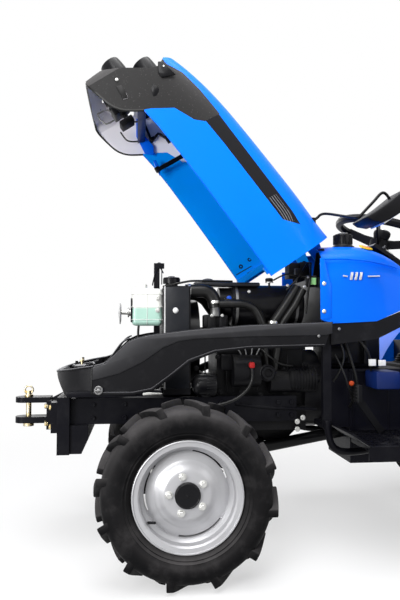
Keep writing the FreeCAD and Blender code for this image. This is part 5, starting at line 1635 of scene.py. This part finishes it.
# -------------------------------------------------------------------- rear end
# Fenders with rolled edges and a hand rail, lamps, the roll bar's bolts and locking
# pins, the splined shaft under its guard, and the pins and rings of the hitch.
axle_back, axle_height, arch = 1420, 435, 488
arch_turns = [math.radians(12 + 11.5 * step) for step in range(13)]
beads = []
for side in (1, -1):
    for x, thick in ((549, 10), (345, 6)):
        run = [(side * x, axle_back - arch * math.cos(turn), axle_height + arch * math.sin(turn))
               for turn in arch_turns]
        beads.append(tube("bead", run, thick))
fixed(one(beads, "fender_beads"), body_blue_painted_shade)
rail_line = [(1130, 880), (1130, 972), (1150, 1000), (1320, 1000), (1340, 972), (1340, 912)]
rails = [tube("rail", [(x, *place) for place in rail_line], 20, 4) for x in (370, -370)]
fixed(one(rails, "hand_rails"), black_gloss)

lamp_faces = [block("lens", (x - 40, 1876, 670), (x + 40, 1886, 710), 4) for x in (490, -490)]
red = fixed(one(lamp_faces, "rear_lamp_lenses"), red_glass)
housings = []
for x in (490, -490):
    housings.append(block("housing", (x - 44, 1850, 665), (x + 44, 1879, 715), 6))
    housings.append(block("housing", (x - 5, 1838, 652), (x + 5, 1852, 700), 1))
fixed(one(housings, "rear_lamp_housings"), trim_black)
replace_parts(red, "rear_lamps")
reflectors = [block("disc", (x - 10, 1886, 682), (x + 10, 1888, 698), 1.5) for x in (470, -470)]
fixed(one(reflectors, "rear_reflectors"), paint("amber_glass", (0.7, 0.2, 0.02), 0.2))

# roll bar: bolts through the cheeks, locking pins, bolted feet and the hoop's sleeves
rops_foot = [(1490, 500), (1570, 500), (1570, 620), (1550, 640), (1510, 640), (1490, 620)]
for label, side, axis in sides:
    bolt_row(f"rops_bolts_{label}", [
        spot(side * 327, 1530, 1180), spot(side * 327, 1530, 1068), spot(side * 327, 1530, 1100)],
        0.026, axis, bright_steel)
    foot_bolts = [spot(side * 317, back, z) for back in (1518, 1542) for z in (520, 560, 600)]
    bolt_row(f"rops_foot_bolts_{label}", foot_bolts, 0.018, axis, bright_steel)
    lock = tube(f"rops_lock_{label}", on_side(side, [
        (326, 1530, 1140), (338, 1530, 1140), (346, 1536, 1132), (346, 1540, 1112), (340, 1536, 1100)]), 7)
    fixed(lock, yellow_zinc)
    plate = slab(f"rops_foot_{label}", rops_foot, (314 * side - 3, 314 * side + 3), 2)
    fixed(plate, frame_black)
caps = [block("cap", (side * 290 - 26, 1504, 1146), (side * 290 + 26, 1556, 1152), 2) for side in (1, -1)]
given(one(caps, "rops_sleeves"), "rops_hoop", frame_black)

# the axle trumpets' bolts, the casing's cast ribs and cover, and the lift's valves
for label, side, axis in sides:
    circle = [spot(side * 318.5, axle_back + 72 * math.cos(turn), axle_height + 72 * math.sin(turn))
              for turn in (math.radians(angle) for angle in range(0, 360, 45))]
    bolt_row(f"trumpet_bolts_{label}", circle, 0.016, axis, blue_casting_painted_shade)
ribs = [block("rib", (-153, back, 320), (153, back + 7, 642), 2.5) for back in (1300, 1400, 1500, 1590)]
ribs += [block("rib", (-128, back, 300), (128, back + 7, 642), 2.5) for back in (660, 800, 940, 1080, 1220)]
ribs.append(block("rib", (-158, 1290, 628), (158, 1604, 641), 3))
ribs.append(block("rib", (-132, 648, 628), (132, 1290, 641), 3))
fixed(one(ribs, "casing_ribs"), blue_casting_painted_shade)
flange_bolts = [spot(x, 1601.5, z) for x in (-130, 130) for z in (330, 430, 530, 610)]
flange_bolts += [spot(x, 1601.5, z) for x in (-60, 60) for z in (345, 610)]
bolt_row("case_cover_bolts", flange_bolts, 0.018, "Y", blue_casting_painted_shade)
valve = [
    block("valve", (-96, 1520, 714), (-36, 1590, 752), 4),
    block("valve", (30, 1500, 714), (90, 1580, 742), 4),
    turned("valve", [(0, 17), (16, 17), (20, 12)], (0, 1470, 714), "Z", 28),
]
fixed(one(valve, "lift_cover"), blue_casting_painted_shade)

# splines on the power take-off, its guard, and the drawbar's pin
splines = []
for step in range(6):
    tooth = block("tooth", (-3.4, 1640, 15.8), (3.4, 1674, 18.6), 0.8)
    around = rotation(60 * step, "Y")
    moved(tooth, Matrix.Translation((0, 0, 0.430)) @ around)
    splines.append(settled(tooth, "tooth"))
collar = turned("collar", [(0, 25), (14, 25), (16, 22)], (0, 1603, 430), "Y", 40)
given(one([collar, *splines], "pto_splines"), "pto_shaft", bright_steel)
guard_side = [(1600, 420), (1612, 420), (1688, 500), (1688, 514), (1600, 514)]
guard = [slab("guard", guard_side, (x, x + 4), 1.5) for x in (-84, 80)]
guard.append(block("guard", (-84, 1600, 510), (84, 1690, 516), 2))
fixed(one(guard, "pto_guard_sides"), frame_black)
tow_pin = spun("drawbar_pin", [
    (-36, 0), (-36, 10.6), (4, 10.6), (4, 17), (12, 17), (14, 6), (40, 6), (42, 0)],
    (0, 1770, 262), "Z", 28)
fixed(tow_pin, yellow_zinc)

# bright rings of the lower links' ball ends
ring_steps = [(-3, 24), (-3, 28), (3, 28), (3, 24)]
pin_rings = [spun("ring", ring_steps, (x, 1946, 270), "X", 32) for x in (283, -283)]
given(one(pin_rings, "link_ball_rings"), "lower_links", bright_steel)
